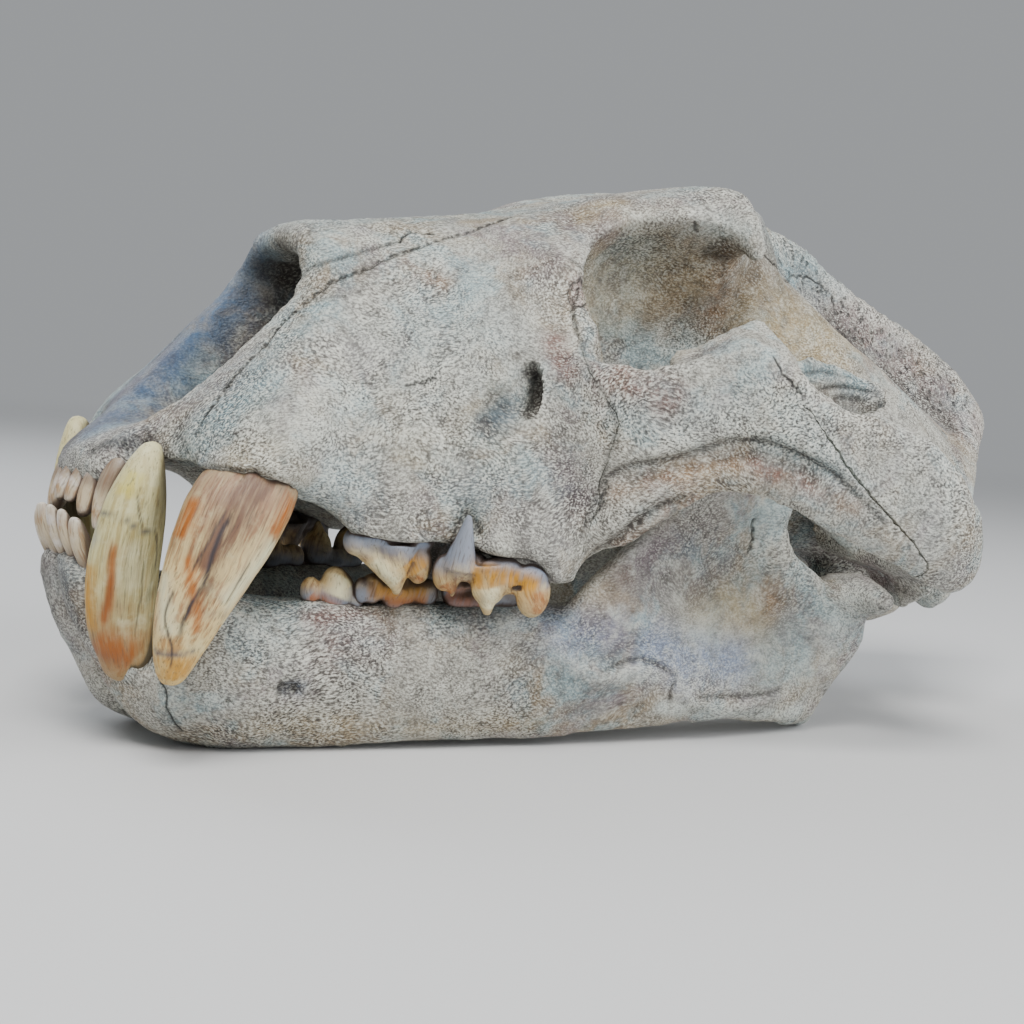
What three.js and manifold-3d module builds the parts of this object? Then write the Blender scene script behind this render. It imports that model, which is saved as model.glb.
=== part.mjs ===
// A fossil cave lion skull with its lower jaw, life size, in millimetres.
// It is shaped with the palate level: x runs back from the front teeth, the animal's left side
// is at negative y, and z is up. At the end it is tipped nose up until the chin and the two
// jaw angles rest on the floor.
import * as THREE from 'three';
import { mergeVertices } from 'three/addons/utils/BufferGeometryUtils.js';
import Module from 'manifold-3d';

const wasm = await Module();
wasm.setup();

// Driving dimensions
const noseUp = THREE.MathUtils.degToRad(6.07);    // tilt of the palate when the jaw lies on the floor
const floorLift = 2.17;                           // raises the tipped skull to the floor
const seam = 0.3;                                 // width of the cuts between neighbouring bones
const jawHalfGap = 0.15;                          // half of the seam between the two jaw halves

// ---------------------------------------------------------------- solids and skins

const point = (x, y, z) => new THREE.Vector3(x, y, z);

function geometryFrom(positions, triangles) {
  const geometry = new THREE.BufferGeometry();
  geometry.setAttribute('position', new THREE.Float32BufferAttribute(positions, 3));
  geometry.setIndex(triangles);
  return geometry;
}

function signedVolume(positions, triangles) {
  const corner = (i) => point(positions[3 * i], positions[3 * i + 1], positions[3 * i + 2]);
  let volume = 0;
  for (let t = 0; t < triangles.length; t += 3) {
    const [a, b, c] = [corner(triangles[t]), corner(triangles[t + 1]), corner(triangles[t + 2])];
    volume += a.dot(b.cross(c)) / 6;
  }
  return volume;
}

// A geometry as a solid, its faces turned outward.
function solid(geometry) {
  geometry.deleteAttribute('normal');
  geometry.deleteAttribute('uv');
  const merged = mergeVertices(geometry, 1e-4);
  const positions = merged.attributes.position.array;
  const triangles = Array.from(merged.index.array);
  if (signedVolume(positions, triangles) < 0) triangles.reverse();
  return new wasm.Manifold(new wasm.Mesh({
    numProp: 3,
    vertProperties: new Float32Array(positions),
    triVerts: new Uint32Array(triangles),
  }));
}

function geometryOf(body) {
  const mesh = body.getMesh();
  return geometryFrom(Array.from(mesh.vertProperties), Array.from(mesh.triVerts));
}

const joined = (...bodies) => bodies.reduce((whole, body) => whole.add(body));

const mirrored = (body) => solid(geometryOf(body).applyMatrix4(new THREE.Matrix4().makeScale(1, -1, 1)));

// A closed skin over rings of equal count, capped at both ends.
function skin(rings) {
  const count = rings[0].length;
  const steps = rings.length - 1;
  const corners = rings.flat();
  const triangles = [];
  for (let i = 0; i < steps; i++) {
    for (let j = 0; j < count; j++) {
      const [a, b] = [i * count + j, i * count + (j + 1) % count];
      triangles.push(a, b, b + count, a, b + count, a + count);
    }
  }
  for (const [ring, first, turn] of [[rings[0], 0, 1], [rings[steps], steps * count, -1]]) {
    const middle = ring.reduce((sum, p) => sum.add(p), point(0, 0, 0)).divideScalar(count);
    const hub = corners.push(middle) - 1;
    for (let j = 0; j < count; j++) {
      const [a, b] = [first + j, first + (j + 1) % count];
      triangles.push(...(turn > 0 ? [hub, b, a] : [hub, a, b]));
    }
  }
  return solid(geometryFrom(corners.flatMap((p) => [p.x, p.y, p.z]), triangles));
}

// A smooth closed ring through a few corners.
function ring(corners, perCorner = 2) {
  const curve = new THREE.CatmullRomCurve3(corners, true);
  const count = corners.length * perCorner;
  return Array.from({ length: count }, (_, i) => curve.getPoint(i / count));
}

// A ring that is the same left and right, from its left half: [half width, height] pairs
// from the middle of the roof to the middle of the floor. place gives each pair its spot.
function evenRing(half, place) {
  const left = half.map(([y, z]) => place(-y, z));
  const right = half.slice(1, -1).reverse().map(([y, z]) => place(y, z));
  return ring([...left, ...right]);
}

// A bar along a path. Each station is [x, y, z, height, thickness]; the height leans outward
// at its lower edge by the given angle.
function bar(stations, lean, corners = 6) {
  const path = new THREE.CatmullRomCurve3(stations.map(([x, y, z]) => point(x, y, z)));
  return skin(stations.map(([x, y, z, height, thickness], i) => {
    const along = path.getTangent(i / (stations.length - 1));
    const across = point(along.y, -along.x, 0).normalize();
    const up = point(0, 0, 1).applyAxisAngle(point(along.x, along.y, 0).normalize(), lean);
    return Array.from({ length: 2 * corners }, (_, j) => {
      const angle = Math.PI * j / corners;
      const flat = (value) => Math.sign(value) * Math.abs(value) ** 0.75;
      return point(x, y, z)
        .addScaledVector(up, flat(Math.sin(angle)) * height / 2)
        .addScaledVector(across, flat(Math.cos(angle)) * thickness / 2);
    });
  }));
}

// A rounded lump: an ellipsoid with half sizes, turned by angles in degrees.
function lump(centre, halfSizes, turn = [0, 0, 0], around = 10) {
  const geometry = new THREE.SphereGeometry(1, around, Math.round(around * 0.7));
  geometry.scale(...halfSizes);
  const [x, y, z] = turn.map(THREE.MathUtils.degToRad);
  geometry.applyMatrix4(new THREE.Matrix4().makeRotationFromEuler(new THREE.Euler(x, y, z)));
  geometry.translate(...centre);
  return solid(geometry);
}

// A flat outline in x and z, given thickness from outerY inward.
function slab(outline, outerY, thickness) {
  const shape = new THREE.Shape(outline.map(([x, z]) => new THREE.Vector2(x, z)));
  const geometry = new THREE.ExtrudeGeometry(shape, { depth: thickness, bevelEnabled: false });
  geometry.applyMatrix4(new THREE.Matrix4().makeRotationX(Math.PI / 2));
  geometry.translate(0, outerY + thickness, 0);
  return solid(geometry);
}

// ---------------------------------------------------------------- cranium

// Muzzle and cheeks: [x, roof, roofHalf, shoulder, shoulderHalf, side, sideHalf, gum, gumHalf, palate]
const faceStations = [
  [4, 90, 9, 89.5, 13, 88, 17, 85, 15.5, 86],
  [9, 95.5, 14, 93, 18, 90, 21, 84, 20, 88],
  [17, 102, 17, 98, 21.5, 93, 24, 87, 24, 92],
  [23, 108, 19.5, 103, 28, 98, 39, 88, 42, 95],
  [31, 117, 21, 111, 33.5, 104, 54, 86, 56, 97],
  [42, 130, 22, 123, 36.5, 106, 61, 84, 61, 98],
  [51, 142.5, 22, 135, 36, 110, 59, 81, 58, 98],
  [55.5, 148, 21.5, 142, 34.5, 111, 56, 79.5, 55, 97],
  [58.5, 153, 20.5, 147, 32.5, 112, 55, 78, 54, 97],
  [60.5, 171, 14, 155, 28, 112, 54, 77, 53, 97],
  [80, 176.6, 20, 162, 37, 112, 54.5, 74.5, 54, 96],
  [102, 182, 21, 166, 43, 113, 61, 73, 62, 95],
  [118, 186, 23, 168, 49, 117, 68, 70, 69, 94],
  [134, 190, 26, 173, 55, 121, 71, 67, 74, 93],
  [146, 193.5, 28, 178, 56, 122, 70, 70, 73, 93],
  [157, 197, 30, 180, 50, 124, 58, 84, 52, 94],
];

function face() {
  return skin(faceStations.map(([x, roof, roofHalf, shoulder, shoulderHalf, side, sideHalf,
    gum, gumHalf, palate]) => evenRing([
    [0, roof],
    [roofHalf, roof - 2],
    [shoulderHalf, shoulder],
    [sideHalf, side],
    [gumHalf, gum],
    [0.72 * gumHalf, (gum + palate) / 2],
    [0, palate],
  ], (y, z) => point(x, y, z))));
}

// Forehead and the walls between the orbits:
// [x, roof, roofHalf, brow, browHalf, wall, wallHalf, floor, floorHalf]
const foreheadStations = [
  [136, 172, 14, 160, 30, 140, 32, 108, 26],
  [150, 190, 22, 176, 44, 150, 38, 101, 34],
  [158, 198, 29.5, 184, 53, 152, 33, 98, 30],
  [170, 203, 34, 191, 51, 155, 28, 98, 24],
  [187, 208.5, 42, 199, 55, 160, 27, 98, 21],
  [200, 212, 50, 201, 61, 165, 28, 98, 20],
  [208, 213, 53, 198, 65, 168, 30, 98, 20],
  [216, 214, 45, 200, 52, 168, 32, 98, 20],
  [228, 215, 30, 202, 38, 165, 34, 98, 21],
  [243, 216, 17, 201, 36, 156, 40, 97, 24],
  [256, 200, 8, 186, 28, 150, 36, 102, 22],
];

function forehead() {
  return skin(foreheadStations.map(([x, roof, roofHalf, brow, browHalf, wall, wallHalf,
    floor, floorHalf]) => evenRing([
    [0, roof],
    [roofHalf, roof],
    [browHalf, brow],
    [wallHalf, wall],
    [floorHalf, floor + 4],
    [0, floor],
  ], (y, z) => point(x, y, z))));
}

// Braincase and nuchal crest. Towards the back the rings lean back at the top and sweep
// forward at the sides:
// [x, lean, sweep, crest, crestHalf, foot, footHalf, vault, vaultHalf, widest, widestHalf, base, baseHalf]
const braincaseStations = [
  [234, 0, 0, 200, 5, 192, 12, 176, 28, 150, 32, 103, 20],
  [245, 0, 0, 216.5, 6, 203, 16, 186, 37, 148, 44, 97, 28],
  [262, 0, 0, 217.5, 4, 200, 12, 182, 38, 142, 50, 95, 32],
  [285, 0, 0, 212.5, 3, 188, 9, 172, 41, 136, 56, 92, 36],
  [310, 0, 4, 202.5, 2.5, 178, 9, 164, 42, 130, 58, 90, 38],
  [335, 0.06, 18, 194, 2.5, 170, 9, 155, 42, 122, 58, 88, 38],
  [357, 0.16, 34, 186.5, 3, 162, 10, 147, 42, 112, 60, 87, 38],
  [375, 0.3, 46, 178, 4, 155, 13, 138, 42, 103, 64, 86, 37],
  [390, 0.42, 56, 165.5, 6, 150, 20, 132, 42, 97, 67, 82, 36],
  [398.5, 0.438, 60, 156, 7, 144, 21, 126, 42, 89, 69, 80, 34],
  [392, 0.43, 54, 146, 6, 136, 18, 120, 34, 92, 56, 86, 26],
];
const leanHeight = 100;
const sweepHalf = 70;
const crestRound = 3;

function braincase() {
  return skin(braincaseStations.map(([x, lean, sweep, crest, crestHalf, foot, footHalf,
    vault, vaultHalf, widest, widestHalf, base, baseHalf]) => evenRing([
    [0, crest],
    [crestHalf, crest - 2],
    [footHalf, foot],
    [vaultHalf, vault],
    [widestHalf, widest],
    [baseHalf, base],
    [0, base],
  ], (y, z) => {
    const forward = (Math.hypot(y, crestRound) / sweepHalf) ** 0.8;
    return point(x + lean * (z - leanHeight) - sweep * forward, y, z);
  })));
}

// Cheek bar from the muzzle round to the jaw joint: [x, y, z, height, thickness]
const archStations = [
  [118, -50, 114, 44, 18],
  [134, -61, 113, 62, 18],
  [146, -73, 111, 66, 14],
  [154, -81, 113, 62, 11],
  [166, -89, 122, 55, 11],
  [181, -97, 133, 54, 10],
  [196, -105, 128, 45, 10],
  [212, -111, 121, 41, 11],
  [228, -116, 118, 46, 12],
  [244, -120, 114, 46, 12],
  [259, -121, 107, 42, 13],
  [273, -117, 101, 32, 15],
  [284, -107, 97, 22, 19],
  [289, -92, 97, 18, 25],
  [290, -72, 99, 20, 28],
  [288, -46, 108, 34, 32],
];
const archLean = THREE.MathUtils.degToRad(8);

function cheekBar() {
  const hook = bar([[180, -94, 140, 12, 8], [185, -94, 152, 11, 7], [188, -93, 165, 5, 4]], 0, 3);
  const stopBehindJoint = bar([[298, -58, 92, 26, 8], [298, -74, 88, 28, 9], [297, -88, 92, 20, 8]], 0, 3);
  return joined(bar(archStations, archLean), hook, stopBehindJoint);
}

// Underside behind the palate: two thin plates beside the open throat channel.
function throatPlates() {
  const plate = bar([
    [160, -27, 96, 26, 14],
    [178, -22, 96, 34, 8],
    [200, -19, 98, 36, 5],
    [222, -18, 101, 34, 5],
    [240, -20, 106, 26, 6],
  ], 0, 3);
  return plate.add(mirrored(plate));
}

// Ear bulla, mastoid, the spike behind it and the neck joint, for the left side.
function skullBase() {
  return joined(
    lump([316, -36, 82], [24, 14, 16], [0, 0, -14], 8),
    bar([[308, -44, 122, 34, 16], [316, -55, 104, 26, 16], [320, -60, 90, 16, 14], [321, -61, 80, 6, 8]], 0, 3),
    bar([[342, -40, 94, 16, 12], [345, -41, 84, 10, 8], [346, -42, 76, 4, 3]], 0, 3),
    lump([378, -19, 87], [12, 11, 14], [0, 0, 20], 8),
  );
}

// The open nose, back to where the scroll bones would be: [x, roof, half, floor]
const noseStations = [
  [-4, 130, 11, 92],
  [6, 140, 14, 93],
  [16, 150, 17, 97],
  [30, 162, 18.5, 102],
  [46, 164, 19.5, 104],
  [58, 162, 20, 106],
  [72, 165, 20, 108],
  [88, 166, 18, 112],
  [104, 162, 14, 122],
];

function noseOpening() {
  return skin(noseStations.map(([x, roof, half, floor]) => evenRing([
    [0, roof],
    [0.8 * half, roof - 5],
    [half, (roof + floor) / 2],
    [0.7 * half, floor + 3],
    [0, floor],
  ], (y, z) => point(x, y, z))));
}

// What is hollowed out of the left side: the cup of the orbit and the canal below it.
function hollows() {
  return joined(
    lump([176, -62, 168], [35, 34, 30], [0, 0, 12], 12),
    lump([130, -64, 128], [26, 5.5, 9.5], [0, -4, 34], 8),
  );
}

function cranium() {
  const leftSide = joined(cheekBar(), skullBase(), upperCheekTeeth(), upperIncisors());
  const leftHollows = hollows();
  return joined(face(), forehead(), braincase(), throatPlates(), leftSide, mirrored(leftSide))
    .subtract(joined(noseOpening(), leftHollows, mirrored(leftHollows)))
    .subtract(lump([395, 0, 99], [34, 14, 11], [0, 14, 0], 8));
}

// ---------------------------------------------------------------- teeth

// A canine: elliptical rings [x, y, z, length, width] from the root to the tip.
function canine(stations) {
  return skin(stations.map(([x, y, z, length, width]) => Array.from({ length: 8 }, (_, i) => {
    const angle = Math.PI * i / 4;
    return point(x + Math.cos(angle) * length / 2, y + Math.sin(angle) * width / 2, z);
  })));
}

const upperCanine = () => canine([
  [44, -47, 100, 26, 18],
  [38, -49, 86, 32, 23],
  [33, -51, 74, 32, 22],
  [29, -52, 60, 27, 20],
  [26.5, -51.5, 46, 20, 15],
  [24.5, -50.5, 33, 11, 9],
  [23, -50, 26.5, 3, 3],
]);

const lowerCanine = () => canine([
  [26, -15.5, 24, 11, 8],
  [21.5, -18, 34, 17, 11],
  [17, -21.3, 46, 21.5, 14.5],
  [15.8, -24.2, 60, 20.5, 14.5],
  [14.6, -28, 74, 17, 13],
  [14, -30.5, 87, 10, 8.5],
  [13.9, -31.5, 94.5, 3, 3],
]);

// A cutting cheek tooth: rings [x, y, tip, width] from front to back. root is the height inside the bone.
function cheekTooth(stations, gum, root) {
  return skin(stations.map(([x, y, tip, width]) => {
    const middle = gum + 0.4 * (tip - gum);
    return [
      point(x, y - 0.4 * width, root),
      point(x, y - width / 2, middle),
      point(x, y, tip),
      point(x, y + width / 2, middle),
      point(x, y + 0.4 * width, root),
    ];
  }));
}

// A front tooth from its root to its edge: [x, y, z, length, width]
function incisor(stations) {
  return skin(stations.map(([x, y, z, length, width]) => [
    point(x - length / 2, y, z),
    point(x, y - width / 2, z),
    point(x + length / 2, y, z),
    point(x, y + width / 2, z),
  ]));
}

function upperCheekTeeth() {
  const thirdPremolar = cheekTooth([
    [74, -50.5, 72, 7], [79, -52, 67, 11], [86, -54.5, 64, 13], [91, -56, 60.5, 13],
    [96, -57.5, 66, 12], [101, -58.5, 69, 8],
  ], 76, 84);
  const carnassial = cheekTooth([
    [102.5, -60, 70, 8], [108, -62.5, 66, 14], [114, -66, 64, 16], [119, -68, 58.5, 14],
    [124, -69.5, 65, 11], [130, -71.5, 59, 11], [136, -73, 62.5, 10], [139, -73.5, 68, 6],
  ], 75, 84);
  return joined(thirdPremolar, carnassial);
}

function upperIncisors() {
  return joined(
    incisor([[8, -3.8, 90, 7, 5], [6, -3.8, 80, 8, 6.5], [5, -3.8, 71.5, 3, 6]]),
    incisor([[9, -10.8, 90, 7, 5.5], [7, -11, 80, 8, 7], [6, -11, 71, 3, 6.5]]),
    incisor([[12, -17.5, 90, 8, 7], [9, -17.8, 79, 9, 7.5], [7.5, -18.3, 66, 2.5, 3]]),
  );
}

function lowerCheekTeeth() {
  const thirdPremolar = cheekTooth([
    [66, -38.5, 57, 6], [71, -39, 60, 9], [76, -39.5, 64, 10], [81, -40, 60, 9], [86, -40.5, 57, 6],
  ], 53, 46);
  const fourthPremolar = cheekTooth([
    [88, -41, 61, 7], [93, -42, 66, 10], [100, -43, 74, 11.5], [107, -44.5, 67, 11], [112, -45.5, 63, 7],
  ], 56, 48);
  const carnassial = cheekTooth([
    [114, -46.5, 65, 7], [120, -47.5, 76, 12], [127, -49, 68, 13], [135, -50.5, 78, 12], [142, -52, 68, 7],
  ], 60, 50);
  return joined(thirdPremolar, fourthPremolar, carnassial);
}

function lowerIncisors() {
  return joined(
    incisor([[6, -3.6, 54, 6, 4.5], [0, -3.6, 64, 7, 5.6], [-4.5, -3.6, 72, 2.5, 5]]),
    incisor([[8, -9.4, 54, 6, 4.5], [2.5, -9.6, 64, 7, 5.8], [-2, -9.8, 72, 2.5, 5.4]]),
    incisor([[11, -15, 53, 6, 5], [6.5, -15.6, 63, 7, 6], [2.5, -16, 70.5, 2.5, 5.6]]),
  );
}

// ---------------------------------------------------------------- lower jaw

// Left jaw half, front to back: [x, bottom, top, outerLow, outerTop]
const jawStations = [
  [2, 52, 59, -6, -7],
  [4, 45, 60, -10, -11],
  [9, 36, 59.5, -13, -14],
  [16, 26.5, 58, -18, -18],
  [22, 17, 56, -24, -22],
  [29, 9.5, 54, -30, -29],
  [36, 5.5, 53, -37, -38],
  [45, 3.2, 53, -39, -41],
  [56, 2.5, 53, -41, -43],
  [72, 4.5, 53.5, -43, -45],
  [90, 7, 55.5, -46, -49],
  [110, 10, 58, -51, -54],
  [130, 13, 60, -55, -60],
  [152, 15.2, 63, -59.5, -65],
  [200, 23, 66, -66, -68],
  [230, 27.5, 62, -68, -68],
  [255, 28, 54, -67, -67],
  [268, 27, 44, -64, -64],
  [279, 26.5, 36, -58, -58],
];
const chinEnd = 50;
const jawThick = 23;

function jawInner(x, outer) {
  if (x < chinEnd) return -jawHalfGap;
  const open = Math.min(1, (x - chinEnd) / 40);
  return THREE.MathUtils.lerp(-jawHalfGap, outer + jawThick - 0.05 * (x - chinEnd), Math.sqrt(open));
}

function jawBody() {
  return skin(jawStations.map(([x, bottom, top, outerLow, outerTop]) => {
    const inner = jawInner(x, outerLow);
    const tall = top - bottom;
    return ring([
      point(x, (inner + outerLow) / 2, bottom),
      point(x, outerLow, bottom + 0.3 * tall),
      point(x, outerTop, bottom + 0.85 * tall),
      point(x, (inner + outerTop) / 2, top),
      point(x, inner, bottom + 0.85 * tall),
      point(x, inner, bottom + 0.15 * tall),
    ]);
  }));
}

// The upright branch, from inside the jaw body to its tip: [z, front, back, outer, thick]
const branchStations = [
  [34, 152, 278, -64, 10],
  [48, 150, 286, -67, 11],
  [62, 150, 294, -69, 12],
  [74, 158, 292, -70, 12],
  [82, 166, 270, -70, 12],
  [90, 176, 250, -70, 11],
  [100, 187, 244, -70, 10],
  [112, 198, 247, -70, 9],
  [126, 206, 256, -70, 8.5],
  [140, 214, 267, -69.5, 8],
  [149, 221, 277, -69, 7.5],
  [156, 229, 271, -68.5, 6.5],
  [160, 241, 260, -68, 4],
];
const edgeRound = 10;

function jawBranch() {
  return skin(branchStations.map(([z, front, back, outer, thick]) => {
    const round = Math.min(edgeRound, 0.3 * (back - front));
    return ring([
      point(front, outer + thick / 2, z),
      point(front + round, outer, z),
      point(back - round, outer, z),
      point(back, outer + thick / 2, z),
      point(back - round, outer + thick, z),
      point(front + round, outer + thick, z),
    ]);
  }));
}

function jawJoint() {
  const condyle = lump([280, -65, 78.5], [8.5, 21, 8.5], [0, 0, 4]);
  const angle = bar([[255, -62, 36, 14, 10], [268, -58, 33, 12, 9], [280, -54, 31, 8, 6]], 0, 3);
  return joined(condyle, angle);
}

function jawHalf() {
  const muscleHollow = lump([213, -80, 76], [82, 14.5, 46], [0, 14, 0]);
  const bone = joined(jawBody(), jawBranch()).subtract(muscleHollow);
  const beyondMidline = new THREE.BoxGeometry(200, 40, 200);
  beyondMidline.translate(0, 20 - jawHalfGap, 50);
  return joined(bone, jawJoint(), lowerCheekTeeth(), lowerIncisors()).subtract(solid(beyondMidline));
}

// ---------------------------------------------------------------- cheekbone seams

// Seen from the side, the cheekbone lies under the long slanting seam and behind the upright one.
const cheekboneOutline = [
  [144, 50], [142, 85], [140, 97], [142, 108], [147, 121], [143, 134], [142, 142], [150, 176],
  [186, 176], [197, 146], [205, 131], [214, 121], [225, 111.5], [239, 100.5], [252, 92], [258, 84], [258, 50],
];
const cheekboneInner = -67;
const cheekboneReach = 80;

// The region of the left cheekbone, its edges moved outward by grow.
function cheekboneRegion(grow) {
  const centre = new THREE.Vector2(190, 105);
  const outline = cheekboneOutline.map(([x, z]) => {
    const away = new THREE.Vector2(x, z).sub(centre);
    away.setLength(away.length() + grow);
    return away.add(centre).toArray();
  });
  return slab(outline, cheekboneInner - cheekboneReach, cheekboneReach + grow);
}

// ---------------------------------------------------------------- assembly

const restPose = new THREE.Matrix4().makeRotationY(noseUp).setPosition(0, 0, floorLift);

// A body in its rest pose, trimmed flat where it meets the floor.
function rested(body) {
  const floor = new THREE.BoxGeometry(1000, 1000, 100);
  floor.translate(0, 0, -50);
  return solid(geometryOf(body).applyMatrix4(restPose)).subtract(solid(floor));
}

const upperTooth = upperCanine();
const lowerTooth = lowerCanine();
const wholeCranium = cranium().subtract(joined(upperTooth, mirrored(upperTooth)));
const cheekboneCut = cheekboneRegion(seam);
const leftParts = {
  jugal: [wholeCranium.intersect(cheekboneRegion(0)), 'bone'],
  mandible: [jawHalf().subtract(lowerTooth), 'bone'],
  upper_canine: [upperTooth, 'ivory'],
  lower_canine: [lowerTooth, 'ivory'],
};

const looks = {
  bone: { color: 0x8d8375, roughness: 0.75, metalness: 0 },
  ivory: { color: 0xb3986a, roughness: 0.4, metalness: 0 },
};

const skull = new THREE.Group();
function place(name, body, look) {
  const mesh = new THREE.Mesh(geometryOf(rested(body)), new THREE.MeshStandardMaterial(looks[look]));
  mesh.name = name;
  skull.add(mesh);
}

place('cranium', wholeCranium.subtract(joined(cheekboneCut, mirrored(cheekboneCut))), 'bone');
for (const [name, [body, look]] of Object.entries(leftParts)) {
  place(`${name}_left`, body, look);
  place(`${name}_right`, mirrored(body), look);
}

// The origin is the middle of the footprint, on the floor.
const extent = new THREE.Box3().setFromObject(skull);
skull.position.x = -(extent.min.x + extent.max.x) / 2;

export default skull;
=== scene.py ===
import math

import bpy
import numpy as np
from mathutils import Matrix, Vector, noise
from mathutils.bvhtree import BVHTree


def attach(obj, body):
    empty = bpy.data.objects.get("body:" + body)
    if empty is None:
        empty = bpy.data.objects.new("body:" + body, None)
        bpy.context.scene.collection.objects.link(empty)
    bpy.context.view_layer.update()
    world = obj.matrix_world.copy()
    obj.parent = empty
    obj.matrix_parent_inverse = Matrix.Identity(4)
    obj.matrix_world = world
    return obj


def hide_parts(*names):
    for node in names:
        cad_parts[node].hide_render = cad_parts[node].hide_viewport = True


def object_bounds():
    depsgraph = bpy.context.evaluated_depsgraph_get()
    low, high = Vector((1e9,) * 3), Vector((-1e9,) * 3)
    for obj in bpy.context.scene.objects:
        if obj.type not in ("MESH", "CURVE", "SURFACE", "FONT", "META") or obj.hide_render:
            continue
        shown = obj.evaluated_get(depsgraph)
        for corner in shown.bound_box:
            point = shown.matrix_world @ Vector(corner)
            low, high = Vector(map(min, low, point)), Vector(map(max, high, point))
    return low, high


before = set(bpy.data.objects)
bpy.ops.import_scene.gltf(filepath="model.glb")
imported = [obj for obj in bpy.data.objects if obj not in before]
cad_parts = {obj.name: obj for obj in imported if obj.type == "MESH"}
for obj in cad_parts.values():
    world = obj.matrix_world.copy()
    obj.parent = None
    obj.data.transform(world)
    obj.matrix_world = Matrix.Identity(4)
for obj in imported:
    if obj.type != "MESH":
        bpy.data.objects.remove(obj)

cadLow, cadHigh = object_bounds()
print("frame loaded")

# Places on the skull are in millimetres with the palate level: x runs back from the front teeth,
# the animal's left side is at negative y, and z is up. The skull then tips back onto its jaw.
pose = {"noseUp": math.radians(6.07), "lift": 2.17, "frontGap": 1.9}
cosUp, sinUp = math.cos(pose["noseUp"]), math.sin(pose["noseUp"])


def toRow(places):
    p = np.asarray(places, float)
    x = p[..., 0] * cosUp + p[..., 2] * sinUp
    z = p[..., 2] * cosUp - p[..., 0] * sinUp + pose["lift"]
    return np.stack([(x - pose["frontGap"]) / 1000 + cadLow.x, p[..., 1] / 1000, z / 1000], -1)


def toSkull(points):
    p = np.asarray(points, float) * 1000
    x = p[..., 0] - cadLow.x * 1000 + pose["frontGap"]
    z = p[..., 2] - pose["lift"]
    return np.stack([x * cosUp - z * sinUp, p[..., 1], z * cosUp + x * sinUp], -1)


def turnedToSkull(directions):
    d = np.asarray(directions, float)
    return np.stack([d[..., 0] * cosUp - d[..., 2] * sinUp, d[..., 1],
                     d[..., 2] * cosUp + d[..., 0] * sinUp], -1)


def mirrored(places):
    return [(x, -y, z) for x, y, z in places]


# Working by hand: selecting, adding, copying, joining, modifiers.
def pick(*pieces):
    bpy.ops.object.select_all(action="DESELECT")
    for piece in pieces:
        piece.select_set(True)
    bpy.context.view_layer.objects.active = pieces[0]


def added(primitive, **settings):
    bpy.ops.object.select_all(action="DESELECT")
    primitive(**settings)
    return bpy.context.object


def named(piece, name):
    piece.name = piece.data.name = name
    return piece


def copyOf(piece, name):
    twin = bpy.data.objects.new(name, piece.data.copy())
    bpy.context.scene.collection.objects.link(twin)
    return named(twin, name)


def modify(piece, kind, **settings):
    pick(piece)
    modifier = piece.modifiers.new(kind.title(), kind)
    for key, value in settings.items():
        setattr(modifier, key, value)
    bpy.ops.object.modifier_apply(modifier=modifier.name)


def onWholeMesh(piece, *steps):
    pick(piece)
    bpy.ops.object.mode_set(mode="EDIT")
    for step, settings in steps:
        bpy.ops.mesh.select_all(action="SELECT")
        step(**settings)
    bpy.ops.object.mode_set(mode="OBJECT")


turnOutwards = (bpy.ops.mesh.normals_make_consistent, {"inside": False})


def joinAs(name, pieces):
    pick(*pieces)
    if len(pieces) > 1:
        bpy.ops.object.join()
    return named(bpy.context.view_layer.objects.active, name)


def copyOfNodes(name, nodes):
    copies = [copyOf(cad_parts[node], node + "Copy") for node in nodes]
    for piece in copies:
        piece.data.materials.clear()
    whole = joinAs(name, copies)
    onWholeMesh(whole, (bpy.ops.mesh.remove_doubles, {"threshold": 1e-5}))
    return whole


# Lumps of clay, round ones (place, half sizes) and spikes (foot, tip, half width), joined before a remesh.
lumpShape = {"sides": 24, "rings": 16, "blunt": 0.15}


def lumps(parts, side=1):
    pieces = []
    for place, half in parts["round"]:
        piece = added(bpy.ops.mesh.primitive_uv_sphere_add, segments=lumpShape["sides"],
                      ring_count=lumpShape["rings"], radius=0.001, location=toRow(place) * (1, side, 1))
        piece.scale = half
        pieces.append(piece)
    for foot, tip, half in parts["spike"]:
        foot, tip = Vector(toRow(foot) * (1, side, 1)), Vector(toRow(tip) * (1, side, 1))
        turn = (tip - foot).to_track_quat("Z", "Y").to_euler()
        pieces.append(added(bpy.ops.mesh.primitive_cone_add, vertices=lumpShape["sides"],
                            radius1=half / 1000, radius2=lumpShape["blunt"] * half / 1000,
                            depth=(tip - foot).length, location=(foot + tip) / 2, rotation=turn))
    pick(*pieces)
    bpy.ops.object.transform_apply(location=True, rotation=True, scale=True)
    return pieces


# Smooth lines, and the clay that they are pressed into.
def smoothLine(places, step=1.2):
    p = np.array(places, float)
    if len(p) == 1:
        return p
    p = np.vstack([2 * p[0] - p[1], p, 2 * p[-1] - p[-2]])
    line = []
    for a, b, c, d in zip(p, p[1:], p[2:], p[3:]):
        count = max(2, int(np.linalg.norm(c - b) / step))
        for t in np.arange(count) / count:
            line.append(0.5 * (2 * b + (c - a) * t + (2 * a - 5 * b + 4 * c - d) * t * t
                               + (3 * b - a - 3 * c + d) * t ** 3))
    line.append(p[-2])
    return np.array(line)


# Without a seed of its own this noise starts from the clock, and lines would wander anew on each run.
noise.seed_set(1)


def jagged(line, size, every=2.5):
    return np.array([p + size * np.array(noise.noise_vector(Vector(p) / every)) for p in line])


def noiseAt(places, size, octaves=3, seed=0.0):
    shift = Vector((seed, 2 * seed, 3 * seed))
    return np.array([noise.fractal(Vector(p) / size + shift, 1.0, 2.0, octaves) for p in places])


def bothSides(line):
    line = [tuple(p) for p in line]
    return [line] if all(y == 0 for x, y, z in line) else [line, mirrored(line)]


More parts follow.
